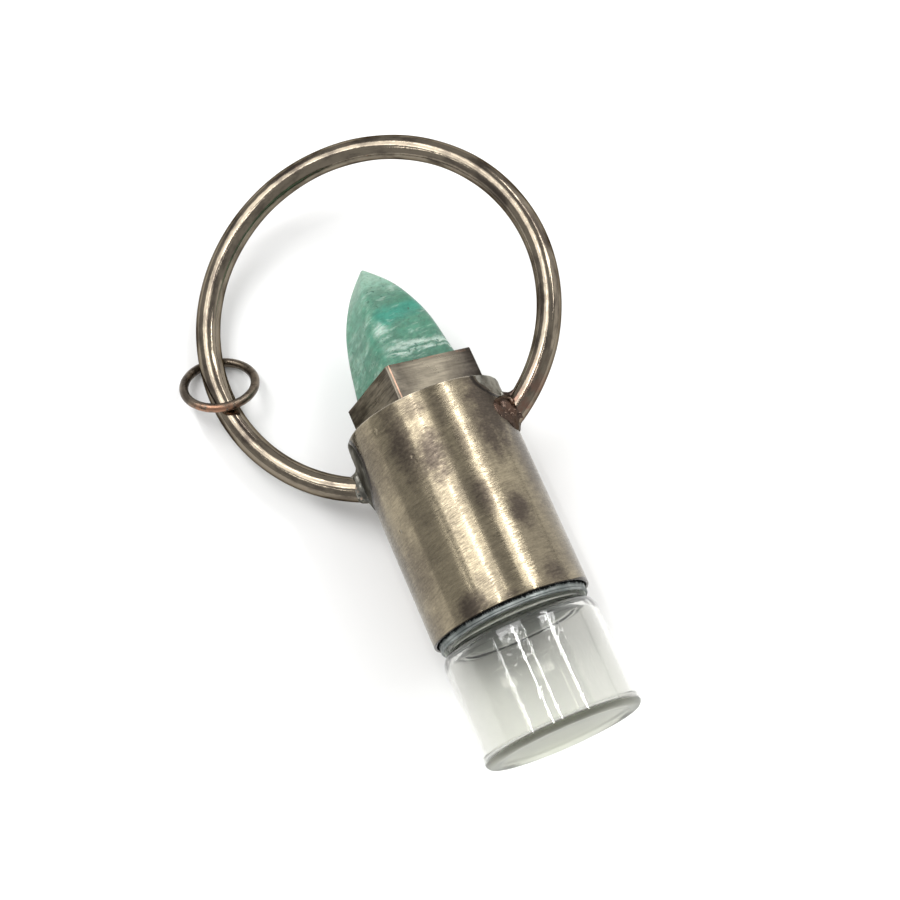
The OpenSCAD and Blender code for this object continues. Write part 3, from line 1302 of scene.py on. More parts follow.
@dataclass(frozen=True)
class ClearGlass(Finish):
    """The vial: clear moulded glass, faintly green, with ripples that break up reflections."""

    name: str = "clear_glass"
    wall: Colour = (0.775, 0.775, 0.755)
    heel: Colour = (0.47, 0.475, 0.43)
    tint: Colour = (0.8, 0.81, 0.68)
    density: float = 80.0
    ripple: float = 0.000016
    outer_r: float = VIAL_R
    shoulder_r: float = SHOULDER_R
    shoulder_z: float = -3.5
    index: float = 1.4
    gloss: float = 0.15
    coat_index: float = 1.5
    lamp_tint: Colour = (0.97, 0.975, 0.97)
    flake_lean: float = 20.0
    neck_rows: Span = (-1.7, -1.2)
    neck_roughness: float = 0.27
    base_rows: Span = (-16.4, -17.0)
    base_roughness: float = 0.38
    heel_rows: Span = (-16.6, -16.95)
    skin: Span = (0.45, 0.2)
    bend_rows: Span = (-2.0, -3.6)
    bend_coat: float = 0.12

    def paint(self, board: MaterialBoard) -> None:
        """Paints the finish on its board.

        Args:
            board: the material's board.
        """
        low = board.height
        on_body, on_shoulder = self.ripples(board)
        on_neck = board.ramp(low, *self.neck_rows, 0.0, self.neck_roughness)
        on_base = board.ramp(low, *self.base_rows, 0.0, self.base_roughness)
        above = board.most(board.minus(low, self.shoulder_z), 0.0)
        beside = board.minus(board.radius, self.outer_r - self.shoulder_r)
        reach = board.math("SQRT", board.scaled(beside, beside, board.times(above, above)))
        outside = board.ramp(reach, *(self.shoulder_r - depth for depth in self.skin))
        outside = board.times(outside, board.ramp(low, -17.0, -16.6))
        outside = board.times(outside, board.ramp(low, *self.bend_rows, self.bend_coat, 1.0))
        in_front = board.minus(1.0, board.put("NewGeometry").outputs["Backfacing"])
        at_heel = board.ramp(low, *self.heel_rows)
        board.surface(
            Base_Color=board.mix(at_heel, self.wall, self.heel),
            Metallic=0.0,
            Roughness=board.most(on_neck, on_base),
            IOR=self.index,
            Transmission_Weight=1.0,
            Specular_IOR_Level=self.gloss,
            Coat_Weight=board.times(outside, in_front),
            Coat_IOR=self.coat_index,
            Coat_Roughness=0.0,
            Coat_Normal=board.bump(on_body, self.ripple, 1.0),
            Normal=board.bump(on_shoulder, self.ripple, 1.0),
        )
        output = board.tree.nodes["Material Output"]
        for_lamps = board.put("BsdfTransparent", {"Color": self.lamp_tint})
        lamp_ray = board.put("LightPath").outputs["Is Shadow Ray"]
        inputs = {0: lamp_ray, 1: board.shader.outputs[0], 2: for_lamps.outputs[0]}
        shown = board.put("MixShader", inputs)
        board.tree.links.new(shown.outputs[0], output.inputs["Surface"])
        depth = board.put("VolumeAbsorption", {"Color": self.tint, "Density": self.density})
        board.tree.links.new(depth.outputs[0], output.inputs["Volume"])

    def ripples(self, board: MaterialBoard) -> tuple[Socket, Socket]:
        """Makes the wall's faint waves and the small slanted flakes on them.

        Args:
            board: the glass material.

        Returns:
            The height on the straight wall, and that on the shoulder.
        """
        pose, per_metre = board.effects.pose, 1 / MM
        own = board.mapped(
            board.put("TexCoord").outputs["Object"],
            Location=(pose.middle_x, pose.middle_z, -pose.lift),
            Scale=(per_metre, per_metre, per_metre),
        )
        across = board.vector("NORMALIZE", board.stretch(own, (1, 0, 1)))[0]
        lengthways = board.stretch(own, (0, 1, 0))
        on_wall = board.vector("ADD", board.tint(across, self.outer_r), lengthways)[0]
        slanted = board.mapped(on_wall, Rotation=(0, 0, math.radians(self.flake_lean)))
        waves = board.grain(on_wall, (0.4, 0.3, 0.4), 0.0, 0.5)
        seeds = board.grain(slanted, (0.8, 1.4, 0.8), 0.0, 0.5)
        flakes = board.grain(slanted, (2.4, 0.7, 2.4), 0.0, 0.5)
        height = board.scaled(seeds, 0.8, waves)
        height = board.scaled(flakes, 1.1, height)
        along = board.split(own)[1]
        body = board.times(board.ramp(along, -1.6, -3.2), board.ramp(along, -16.4, -15.4))
        shoulder = board.times(board.ramp(along, -4.2, -3.2), board.ramp(along, -1.5, -1.9))
        return board.times(height, body), board.times(height, shoulder)


@dataclass(frozen=True)
class CloudyGreenStone(Finish):
    """The stone: blue-green with paler clouds, white streaks and small dark specks, with painted
    shade on its right face and low by the collar.
    """

    name: str = "cloudy_green_stone"
    green: Colour = (0.082, 0.272, 0.18)
    teal: Colour = (0.055, 0.29, 0.21)
    dull: Colour = (0.092, 0.235, 0.163)
    pale: Colour = (0.28, 0.43, 0.34)
    white: Colour = (0.47, 0.58, 0.51)
    speck: Colour = (0.045, 0.12, 0.085)
    layer: Place = (-0.31, 0.04, 1.0)
    across: Place = (0.73, 0.68, 0.0)
    right_face: Span = (-96.0, -80.0)
    low_rows: Span = (43.0, 37.0)
    shaded_rows: Span = (36.3, 44.0)
    tip_rows: Span = (47.0, 53.0)
    teal_level: float = 41.7
    veins: tuple[Span, ...] = ((39.3, 0.8), (38.1, 0.4))
    cloud: Patch = Patch(-87.0, 42.2, 11.0, 1.5, 0.75)
    index: float = 1.52
    gloss: float = 0.3
    depth_weight: float = 0.15
    depth_scale: float = 0.002

    def paint(self, board: MaterialBoard) -> None:
        """Paints the finish on its board.

        Args:
            board: the material's board.
        """
        place = board.place
        up = Vector(self.layer).normalized()
        side = Vector(self.across).normalized()
        depth = up.cross(side)
        axes = [board.vector("DOT_PRODUCT", place, tuple(a))["Value"] for a in (side, depth, up)]
        layered = board.put("CombineXYZ", dict(enumerate(axes))).outputs[0]
        broad = board.grain(layered, (0.16, 0.16, 0.3), 6.0, 0.62, 0.3)
        veils = board.grain(layered, (0.26, 0.26, 0.75), 8.0, 0.68, 0.4)
        threads = board.grain(layered, (0.35, 0.35, 1.3), 6.0, 0.62, 0.5)
        height = board.height
        up_layer = board.split(layered)[2]
        on_right = board.ramp(board.angle, *self.right_face)
        base = board.mix(board.ramp(broad, 0.4, 0.6), self.dull, self.green)
        base = board.mix(board.ramp(height, *self.low_rows, 0.0, 0.6), base, self.dull)
        rough_up = board.scaled(broad, 3.0, board.minus(up_layer, 1.5))
        band = board.ramp(board.off(rough_up, self.teal_level), 1.9, 0.5)
        base = board.mix(board.times(band, on_right), base, self.teal)
        # Painted shade: the right face is darkened to 0.79.
        base = board.mix(on_right, base, board.tint(base, 0.79))
        base = board.tint(base, board.ramp(height, *self.shaded_rows, 0.86, 1.0))
        veiled = board.ramp(veils, 0.47, 0.72, 0.0, 0.85)
        veiled = board.times(veiled, board.scaled(on_right, -0.75, 1.0))
        base = board.mix(veiled, base, self.pale)
        streaks = board.times(board.ramp(threads, 0.54, 0.66), board.ramp(veils, 0.4, 0.58))
        base = board.mix(board.times(streaks, 0.36), base, self.white)
        wavy = board.scaled(veils, 3.2, board.minus(height, 1.6))
        for level, wide in self.veins:
            off = board.off(wavy, level)
            vein = board.times(board.ramp(off, wide, 0.0), on_right)
            vein = board.times(vein, board.ramp(threads, 0.36, 0.6, 0.35, 0.85))
            base = board.mix(vein, base, self.white)
        cloud = board.spot(self.cloud, veils).outputs["Mask"]
        base = board.mix(board.times(cloud, board.ramp(threads, 0.36, 0.62)), base, self.white)
        base = board.mix(board.ramp(height, *self.tip_rows, 0.0, 0.75), base, self.pale)
        mottle = board.grain(layered, (0.9, 0.9, 1.5), 6.0, 0.72)
        base = board.tint(base, board.ramp(mottle, 0.36, 0.64, 0.8, 1.13))
        grains = board.cloud(place, 1.7, 2.0, 0.5)
        specks = board.times(board.ramp(grains, 0.64, 0.7), board.ramp(broad, 0.6, 0.4, 0.3, 1.0))
        base = board.mix(specks, base, self.speck)
        rough = board.ramp(veils, 0.3, 0.7, 0.34, 0.48)
        normal = board.bump(veils, 0.0001, 0.25)
        board.surface(
            Base_Color=base,
            Metallic=0.0,
            Roughness=rough,
            Normal=normal,
            IOR=self.index,
            Specular_IOR_Level=self.gloss,
            Subsurface_Weight=self.depth_weight,
            Subsurface_Scale=self.depth_scale,
        )


@dataclass(frozen=True)
class Sleeve:
    """The tube that the cap is glued into, with the plate that closes its upper end."""

    outer_r: float = SLEEVE_R
    bore_r: float = 10.8
    length: float = 30.8
    rim_round: float = 0.13
    plate_top: float = 30.4
    plate_bottom: float = 29.6
    map_length: float = 70.0
    map_low: float = 0.02
    map_gap: float = 0.2
    steps: int = 160

    def model(self) -> Piece:
        """Models the sleeve.

        Returns:
            The upright sleeve.
        """
        edge = self.rim_round
        outline = [
            *arc(self.bore_r + edge, edge, edge, 180, 270, 3),
            *arc(self.outer_r - edge, edge, edge, 270, 360, 3),
            *rows(self.outer_r, edge, self.length - edge, 0.9),
            *arc(self.outer_r - edge, self.length - edge, edge, 0, 90, 3),
            *arc(self.bore_r + edge, self.length - edge, edge, 90, 180, 3),
            (self.bore_r, self.plate_top + 0.08),
            (self.bore_r - 0.1, self.plate_top),
            (self.bore_r / 2, self.plate_top),
            (0, self.plate_top),
            (0, self.plate_bottom),
            (self.bore_r / 2, self.plate_bottom),
            (self.bore_r, self.plate_bottom),
            *rows(self.bore_r, self.plate_bottom, edge, 7),
        ]
        piece = lathe("brass_sleeve", outline, self.steps)
        uneven(piece, 0.02, 6.0)
        self.unroll(piece)
        smooth_shade(piece, 40)
        return piece

    def unroll(self, piece: Piece) -> None:
        """Gives the sleeve a map whose first direction runs along its axis, for the brushing.

        Args:
            piece: the upright sleeve.
        """
        layer = piece.data.uv_layers.new(name="brush")
        for face in piece.data.polygons:
            middle = math.atan2(face.center.y, face.center.x)
            for loop in face.loop_indices:
                place = piece.data.vertices[piece.data.loops[loop].vertex_index].co
                turn = math.atan2(place.y, place.x) - middle
                turn = (turn + math.pi) % math.tau - math.pi + middle
                along = place.z / self.map_length + self.map_low
                layer.data[loop].uv = (along, 0.5 + turn / (math.tau + self.map_gap))


@dataclass(frozen=True)
class SquareCollar:
    """The square tube that holds the stone."""

    side: float = COLLAR_SIDE
    foot: float = 30.35
    top: float = COLLAR_TOP
    pocket: float = 30.45
    wall: float = 0.5
    flat: float = 0.5
    edge: float = 0.09
    turn: float = COLLAR_TURN
    right_corner: float = 9.5
    drawn_up: float = 0.35
    drawn_out: float = 0.3

    def model(self) -> Piece:
        """Models the collar.

        Returns:
            The upright collar.
        """
        piece = start_piece(
            "square_collar",
            bpy.ops.mesh.primitive_cube_add,
            size=1,
            location=(0, 0, (self.foot + self.top) / 2),
            scale=(self.side, self.side, self.top - self.foot),
        )
        bake_place(scaled=True)
        with edit_mode(piece):
            pick_edges(piece, lambda a, b: abs(a.z - b.z) > 1)
            bpy.ops.mesh.bevel(offset=self.flat / math.sqrt(2), segments=1, affect="EDGES")
            bpy.context.tool_settings.mesh_select_mode = (True, False, False)
            pick(piece, lambda place: place.z > self.top - 0.01)
            bpy.context.tool_settings.mesh_select_mode = (False, False, True)
            bpy.ops.mesh.inset(thickness=self.wall)
            extrude(0, 0, self.pocket - self.top)
            face_outwards()
        bevel = {"width": self.edge, "segments": 2, "limit_method": "ANGLE", "angle_limit": 0.5}
        apply_modifier(piece, "BEVEL", **bevel)
        with edit_mode(piece):
            bpy.ops.mesh.subdivide(number_cuts=7)
            bpy.ops.transform.rotate(
                value=-math.radians(self.turn), orient_axis="Z", center_override=(0, 0, 0)
            )
        uneven(piece, 0.03, 4.0)
        move_vertices(piece, self.skew)
        smooth_shade(piece, 30)
        return piece

    def skew(self, place: Vector) -> Vector:
        """Draws the right corner out and up a little, as in the photograph.

        Args:
            place: a vertex.

        Returns:
            Its new place.
        """
        share = max(0.0, place.x) / self.right_corner
        place.z += self.drawn_up * share * (place.z - self.foot) / (self.top - self.foot)
        place.x += self.drawn_out * share
        return place


@dataclass(frozen=True)
class StonePoint:
    """The four-sided stone with soft edges that narrows in a curve to its tip."""

    side: float = 12.6
    corner_r: float = 2.5
    foot: float = 30.55
    collar_top: float = COLLAR_TOP
    rise: float = 18.15
    taper: float = 0.4
    power: float = 4.0
    turn: float = COLLAR_TURN
    arc_steps: int = 10
    side_steps: int = 8
    rings: int = 34
    last_ring: float = 0.99
    lean_x: float = 0.35
    right_corner: float = 9.0

    def width(self, u: float) -> float:
        """Returns: the stone's width at a share u of its rise, against its foot's."""
        return (1 - self.taper * u) * (1 - u**self.power)

    def section(self) -> list[Vector]:
        """Returns: the points of the rounded square at the stone's foot."""
        reach = self.side / 2 - self.corner_r
        points = []
        for quarter in range(4):
            turn = math.radians(90 * quarter + self.turn)
            for step in range(self.arc_steps + 1):
                a = math.radians(90 * step / self.arc_steps)
                x = reach + self.corner_r * math.cos(a)
                y = reach + self.corner_r * math.sin(a)
                points.append(Matrix.Rotation(turn, 2) @ Vector((x, y)))
            for step in range(1, self.side_steps):
                share = 1 - 2 * step / self.side_steps
                points.append(Matrix.Rotation(turn, 2) @ Vector((reach * share, self.side / 2)))
        return [Vector((p.x, p.y, self.foot)) for p in points]

    def model(self) -> Piece:
        """Models the stone.

        Returns:
            The upright stone.
        """
        section = self.section()
        piece = start_piece(
            "green_stone_point", bpy.ops.mesh.primitive_circle_add, vertices=len(section)
        )
        for vertex, place in zip(piece.data.vertices, section):
            vertex.co = place
        heights = [(self.collar_top, 1.0)]
        for k in range(1, self.rings + 1):
            u = self.last_ring * math.sin(math.pi / 2 * k / self.rings)
            heights.append((self.collar_top + self.rise * u, self.width(u)))
        with edit_mode(piece):
            height, wide = self.foot, 1.0
            for next_height, next_wide in heights:
                extrude(0, 0, next_height - height)
                ratio = next_wide / wide
                bpy.ops.transform.resize(
                    value=(ratio, ratio, 1), center_override=(0, 0, next_height)
                )
                height, wide = next_height, next_wide
            bpy.ops.mesh.merge(type="CENTER")
            pick(piece, lambda place: place.z < self.foot + 0.01)
            bpy.ops.mesh.edge_face_add()
        close_skin(piece)
        uneven(piece, 0.12, 5.0, self.collar_top)
        move_vertices(piece, self.lean)
        smooth_shade(piece, 70)
        return piece

    def lean(self, place: Vector) -> Vector:
        """Leans the upper part to the right and fills out its right corner, as in the photograph.

        Args:
            place: a vertex.

        Returns:
            Its new place.
        """
        u = max(0.0, (place.z - self.collar_top) / self.rise)
        place.x += self.lean_x * u**3 + self.lean_x * u * max(0.0, place.x) / self.right_corner
        return place


@dataclass(frozen=True)
class HoopWire:
    """The large wire hoop, open at the bottom where the sleeve stands."""

    radius: float = HOOP_R
    wire_d: float = 3.5
    centre: Place = HOOP_CENTRE
    first: float = -65.0
    last: float = 248.0
    wall_x: float = 10.98
    joint_top: float = 32.0
    steps: int = 220
    wire_sides: int = 40

    def model(self) -> Piece:
        """Models the hoop.

        Returns:
            The upright hoop, cut where it stands in the sleeve's wall.
        """
        piece = start_piece(
            "hoop_wire",
            bpy.ops.mesh.primitive_circle_add,
            vertices=self.wire_sides,
            radius=self.wire_d / 2,
            location=(self.radius, 0, 0),
        )
        bake_place()
        with edit_mode(piece):
            angle = math.radians(self.last - self.first)
            bpy.ops.mesh.spin(steps=self.steps, angle=angle, center=(0, 0, 0), axis=(0, 1, 0))
        start = Matrix.Rotation(math.radians(-self.first), 4, "Y")
        piece.data.transform(Matrix.Translation(self.centre) @ start)
        for side in Side:
            with edit_mode(piece):
                bpy.ops.mesh.select_all(action="DESELECT")
                pick(piece, lambda p, s=side.value: s * p.x > 0 and p.z < self.joint_top)
                bpy.ops.mesh.bisect(
                    plane_co=(side.value * self.wall_x, 0, 0),
                    plane_no=(side.value, 0, 0),
                    use_fill=True,
                    clear_inner=True,
                )
        close_skin(piece)
        uneven(piece, 0.04, 7.0)
        smooth_shade(piece, 40)
        return piece


@dataclass(frozen=True)
class Blob:
    """One lump of solder, a ball that is stretched and turned."""

    place: Place
    radii: Place
    lean: float = 0.0


@dataclass(frozen=True)
class SolderJoint:
    """The solder at one end of the hoop."""

    side: Side
    name: str
    web: tuple[Point, ...]
    web_half: float
    blobs: tuple[Blob, ...]
    wall_r: float = 11.02
    sleeve_r: float = SLEEVE_R
    rim_z: float = 30.78
    feather: float = 0.2
    sunk: float = 0.03
    cell: float = 0.14
    smoothing: int = 7

    def model(self) -> Piece:
        """Models the solder by joining lumps and letting them run together.

        Returns:
            The upright piece.
        """
        sign = self.side.value
        web = draw_line(self.name, [(sign * x, z) for x, z in (*self.web, self.web[0])])
        with edit_mode(web):
            bpy.ops.mesh.remove_doubles(threshold=0.001)
            bpy.ops.mesh.edge_face_add()
            bpy.ops.transform.translate(value=(0, -self.web_half, 0))
            extrude(0, 2 * self.web_half, 0)
            face_outwards()
        lumps = [web]
        for blob in self.blobs:
            lump = start_piece(
                "solder_lump",
                bpy.ops.mesh.primitive_uv_sphere_add,
                segments=32,
                ring_count=20,
                location=blob.place,
                scale=blob.radii,
                rotation=(0, math.radians(blob.lean), 0),
            )
            bake_place(turned=True, scaled=True)
            move_vertices(lump, self.wrap)
            lumps.append(lump)
        for lump in lumps:
            lump.select_set(True)
        bpy.context.view_layer.objects.active = web
        bpy.ops.object.join()
        bake_place(turned=True, scaled=True)
        apply_modifier(web, "REMESH", mode="VOXEL", voxel_size=self.cell)
        apply_modifier(web, "SMOOTH", factor=0.5, iterations=self.smoothing)
        uneven(web, 0.06, 2.4)
        uneven(web, 0.05, 0.8)
        move_vertices(web, self.keep_outside)
        close_skin(web, 0.01)
        smooth_shade(web, 60)
        return web

    def wrap(self, place: Vector) -> Vector:
        """Bends a lump round the sleeve.

        Args:
            place: a vertex, whose y is the way round the sleeve's wall.

        Returns:
            Its new place.
        """
        reach, turn = place.x, place.y / self.sleeve_r
        return Vector((reach * math.cos(turn), abs(reach) * math.sin(turn), place.z))

    def keep_outside(self, place: Vector) -> Vector:
        """Presses what reaches into the sleeve back into its wall, and feathers the edge.

        Args:
            place: a vertex.

        Returns:
            Its new place.
        """
        place.z = min(place.z, self.rim_z)
        reach = math.hypot(place.x, place.y)
        height = max(0.0, reach - self.sleeve_r)
        feathered = self.sleeve_r + height**2 / (height + self.feather) - self.sunk
        return scale_round_axis(place, max(self.wall_r, min(reach, feathered)) / reach)


@dataclass(frozen=True)
class JumpRing:
    """The small wire ring on the hoop, bent shut with its two ends face to face."""

    radius: float = 5.1
    wire_d: float = 1.3
    place: Place = (-21.467, 20.35, 3.1695)
    pitch: float = 28.839
    lean: float = 7.0
    seam: float = 1.1
    seam_at: float = 118.0
    steps: int = 112
    wire_sides: int = 28

    def model(self) -> Piece:
        """Models the ring.

        Returns:
            The ring round its own axis.
        """
        piece = start_piece(
            "small_jump_ring",
            bpy.ops.mesh.primitive_circle_add,
            vertices=self.wire_sides,
            radius=self.wire_d / 2,
            location=(self.radius, 0, 0),
            rotation=(math.pi / 2, 0, 0),
        )
        bake_place(turned=True)
        with edit_mode(piece):
            angle = math.radians(360 - self.seam)
            bpy.ops.mesh.spin(steps=self.steps, angle=angle, center=(0, 0, 0), axis=(0, 0, 1))
            bpy.ops.mesh.select_all(action="DESELECT")
            bpy.ops.mesh.select_non_manifold()
            bpy.ops.mesh.edge_face_add()
        self.cap_ends(piece)
        close_skin(piece)
        piece.data.transform(Matrix.Rotation(math.radians(self.seam_at), 4, "Z"))
        uneven(piece, 0.025, 1.6)
        smooth_shade(piece, 50)
        return piece

    def cap_ends(self, piece: Piece) -> None:
        """Fills an end of the wire that is still open.

        Args:
            piece: the spun wire.
        """
        for back in (False, True):
            with edit_mode(piece):
                bpy.ops.mesh.select_all(action="DESELECT")
                bpy.ops.mesh.select_non_manifold()
                mesh = bmesh.from_edit_mesh(piece.data)
                for vertex in mesh.verts:
                    if vertex.select and (vertex.co.y < -0.001) != back:
                        vertex.select_set(False)
                mesh.select_flush_mode()
                bmesh.update_edit_mesh(piece.data)
                if any(vertex.select for vertex in mesh.verts):
                    bpy.ops.mesh.edge_face_add()

    def placing(self) -> Matrix:
        """Returns: the matrix from the ring's own axis, in mm, to the table, in metres."""
        turn = Matrix.Rotation(math.radians(self.lean), 4, "Y") @ Matrix.Rotation(
            math.radians(-self.pitch), 4, "X"
        )
        return Matrix.Scale(MM, 4) @ Matrix.Translation(self.place) @ turn


@dataclass(frozen=True)
class ScrewCap:
    """The aluminium cap inside the sleeve, with its knurled skirt and rolled lower edge."""

    outer_r: float = 10.6
    bore_r: float = 10.1
    top: float = 8.3
    drop: float = 1.1
    bead_r: float = 0.25
    knurl_low: float = -0.2
    knurl_high: float = 7.0
    groove: float = 0.12
    steps: int = 400

    def model(self) -> Piece:
        """Models the cap.

        Returns:
            The upright cap.
        """
        low = -self.drop + self.bead_r
        neck = self.outer_r - 0.12
        outline = [
            *arc(self.outer_r - self.bead_r, low, self.bead_r, 180, 360, 8),
            *arc(self.outer_r - self.bead_r, low, self.bead_r, 20, 60, 2),
            (neck, low + self.bead_r),
            (neck, self.knurl_low - 0.12),
            (self.outer_r, self.knurl_low),
            *rows(self.outer_r, self.knurl_low, self.knurl_high, 1.2),
            (self.outer_r, self.knurl_high),
            *arc(self.outer_r - 0.5, self.top - 0.5, 0.5, 0, 90, 4),
            (self.outer_r / 2, self.top),
            (0, self.top),
            (0, self.top - 0.5),
            (self.bore_r, self.top - 0.5),
        ]
        piece = lathe("knurled_cap", outline, self.steps)
        move_vertices(piece, self.knurl)
        smooth_shade(piece, 25)
        return piece

    def knurl(self, place: Vector) -> Vector:
        """Presses every second column of the skirt in, which leaves narrow grooves.

        Args:
            place: a vertex.

        Returns:
            Its new place.
        """
        reach = math.hypot(place.x, place.y)
        column = round(math.atan2(place.y, place.x) / math.tau * self.steps)
        if column % 2 == 0 and reach > self.outer_r - 0.05 and place.z > self.knurl_low - 0.01:
            return scale_round_axis(place, (reach - self.groove) / reach)
        return place


@dataclass(frozen=True)
class GlassVial:
    """The glass vial with its threaded neck."""

    outer_r: float = VIAL_R
    cavity_r: float = 10.35
    neck_r: float = 9.6
    neck_bore_r: float = 8.7
    lip_r: float = 0.35
    base_z: float = -17.6
    shoulder_z: float = -1.4
    mouth_z: float = 7.5
    shoulder_r: float = SHOULDER_R
    heel_r: float = 1.0
    wall: float = 0.75
    base_t: float = 1.2
    hollow: float = 0.5
    ring_w: float = 0.8
    thread_rise: float = 0.32
    thread_pitch: float = 2.8
    thread_turns: float = 1.6
    thread_foot: float = 1.9
    thread_flank: float = 0.38
    thread_fade: float = 0.08
    mouth_r: float = 0.45
    steps: int = 160

    def model(self) -> Piece:
        """Models the vial.

        Returns:
            The upright vial.
        """
        neck, bore, edge = self.neck_r, self.neck_bore_r, self.mouth_r
        foot, heel = self.base_z, self.heel_r
        ring = self.outer_r - heel - self.ring_w
        bend_r, bend_z = self.outer_r - self.shoulder_r, self.shoulder_z - self.shoulder_r
        ceiling = self.shoulder_z - self.wall
        inner_r = self.shoulder_r - self.wall / 2
        floor, corner = self.base_z + self.base_t, heel - 0.3
        outline = [
            (0, foot + self.hollow),
            (ring * 0.4, foot + self.hollow),
            (ring * 0.8, foot + self.hollow * 0.85),
            (ring - 0.3, foot + self.hollow * 0.4),
            (ring, foot + 0.05),
            (ring + 0.2, foot),
            *arc(self.outer_r - heel, foot + heel, heel, -90, 0, 8),
            *rows(self.outer_r, foot + heel, bend_z, 0.8),
            *arc(bend_r, bend_z, self.shoulder_r, 0, 66, 10),
            (neck + 0.1, self.shoulder_z - 0.1),
            (neck + 0.02, self.shoulder_z + 0.05),
            (neck, self.shoulder_z + 0.2),
            *rows(neck, self.shoulder_z + 0.2, self.mouth_z - edge, 0.22),
            *arc(neck - edge, self.mouth_z - edge, edge, 0, 90, 4),
            *arc(bore + edge, self.mouth_z - edge, edge, 90, 180, 4),
            (bore, self.shoulder_z + 0.6),
            *arc(bore + self.lip_r, ceiling + self.lip_r - 0.05, self.lip_r, 180, 270, 5),
            *arc(self.cavity_r - inner_r, ceiling - inner_r, inner_r, 69, 0, 8),
            *rows(self.cavity_r, ceiling - inner_r, floor + corner, 1.6),
            *arc(self.cavity_r - corner, floor + corner, corner, 0, -86, 8),
            (self.cavity_r / 2, floor + self.hollow / 2),
            (0, floor + self.hollow / 2),
        ]
        piece = lathe("glass_bottle", outline, self.steps)
        move_vertices(piece, self.thread)
        smooth_shade(piece, 60)
        return piece

    def thread(self, place: Vector) -> Vector:
        """Raises the screw thread on the neck.

        Args:
            place: a vertex.

        Returns:
            Its new place.
        """
        reach = math.hypot(place.x, place.y)
        if place.z < self.shoulder_z + 0.3 or abs(reach - self.neck_r) > 0.02:
            return place
        turn = math.atan2(place.y, place.x) / math.tau
        rise = place.z - (self.shoulder_z + self.thread_foot) - self.thread_pitch * turn
        lap = rise / self.thread_pitch
        nearest = min(max(round(lap), 0), 1)
        run = nearest + turn + 0.5
        far = abs(rise - nearest * self.thread_pitch)
        left = self.thread_turns + 0.3 - run
        fade = min(1.0, run / self.thread_fade, left / self.thread_fade)
        flank = max(0.0, min(1.0, 1.5 - far / self.thread_flank))
        height = self.thread_rise * flank * max(0.0, fade)
        return scale_round_axis(place, (reach + height) / reach)


LEFT_SOLDER = SolderJoint(
    side=Side.LEFT,
    name="left_solder",
    web=(
        *((10.9, 29.3), (11.25, 29.0), (11.5, 28.3), (12.0, 27.6), (12.9, 27.3)),
        *((13.2, 24.9), (12.4, 23.6), (11.8, 22.6), (11.45, 21.4), (10.9, 21.0)),
    ),
    web_half=1.1,
    blobs=(
        Blob((-11.2, -1.9, 26.5), (0.42, 5.0, 5.2)),
        Blob((-11.9, 0.0, 25.0), (1.5, 1.95, 1.95), 25),
        Blob((-11.9, -1.0, 26.4), (0.7, 0.8, 1.0)),
    ),
)

RIGHT_SOLDER = SolderJoint(
    side=Side.RIGHT,
    name="right_solder",
    web=(
        *((10.9, 30.2), (11.2, 29.8), (11.35, 29.0), (11.75, 28.5), (12.5, 28.1)),
        *((13.2, 28.2), (13.5, 28.4), (13.7, 26.3), (12.8, 25.0), (12.3, 24.2)),
        *((11.8, 23.5), (11.4, 22.9), (10.9, 22.6)),
    ),
    web_half=1.2,
    blobs=(
        Blob((11.15, -1.7, 30.6), (0.34, 5.0, 2.95)),
        Blob((11.7, 0.0, 25.7), (1.6, 1.95, 1.95), -30),
        Blob((11.2, -2.6, 25.6), (0.65, 2.6, 1.9)),
        Blob((11.6, -1.3, 26.0), (1.15, 2.4, 1.9)),
        Blob((12.45, -1.75, 26.6), (0.5, 0.45, 0.5)),
        Blob((11.25, -0.9, 24.1), (0.7, 2.3, 1.4)),
    ),
    smoothing=16,
)


@dataclass(frozen=True)
class StudioLight:
    """A soft light, placed by the direction it comes from."""

    name: str
    turn: float
    tilt: float
    width: float
    length: float
    radiance: float
    distance: float = 1.2

    def build(self) -> None:
        """Builds the light and logs it."""
        data = bpy.data.lights.new(self.name, "AREA")
        data.shape = "RECTANGLE"
        data.size = 2 * self.distance * math.tan(math.radians(self.width / 2))
        data.size_y = 2 * self.distance * math.tan(math.radians(self.length / 2))
        data.energy = WATTS_PER_RADIANCE * data.size * data.size_y * self.radiance
        turn, tilt = math.radians(self.turn), math.radians(self.tilt)
        back = Vector(
            (math.cos(turn) * math.cos(tilt), math.sin(tilt), math.sin(turn) * math.cos(tilt))
        )
        up = (Vector((0, 1, 0)) - back * back.y).normalized()
        side = up.cross(back)
        lamp = bpy.data.objects.new(self.name, data)
        bpy.context.scene.collection.objects.link(lamp)
        lamp.matrix_world = Matrix.Translation(back * self.distance) @ Matrix(
            (side, up, back)
        ).transposed().to_4x4()
        LOG.info("%s: radiance %.1f", self.name, self.radiance)


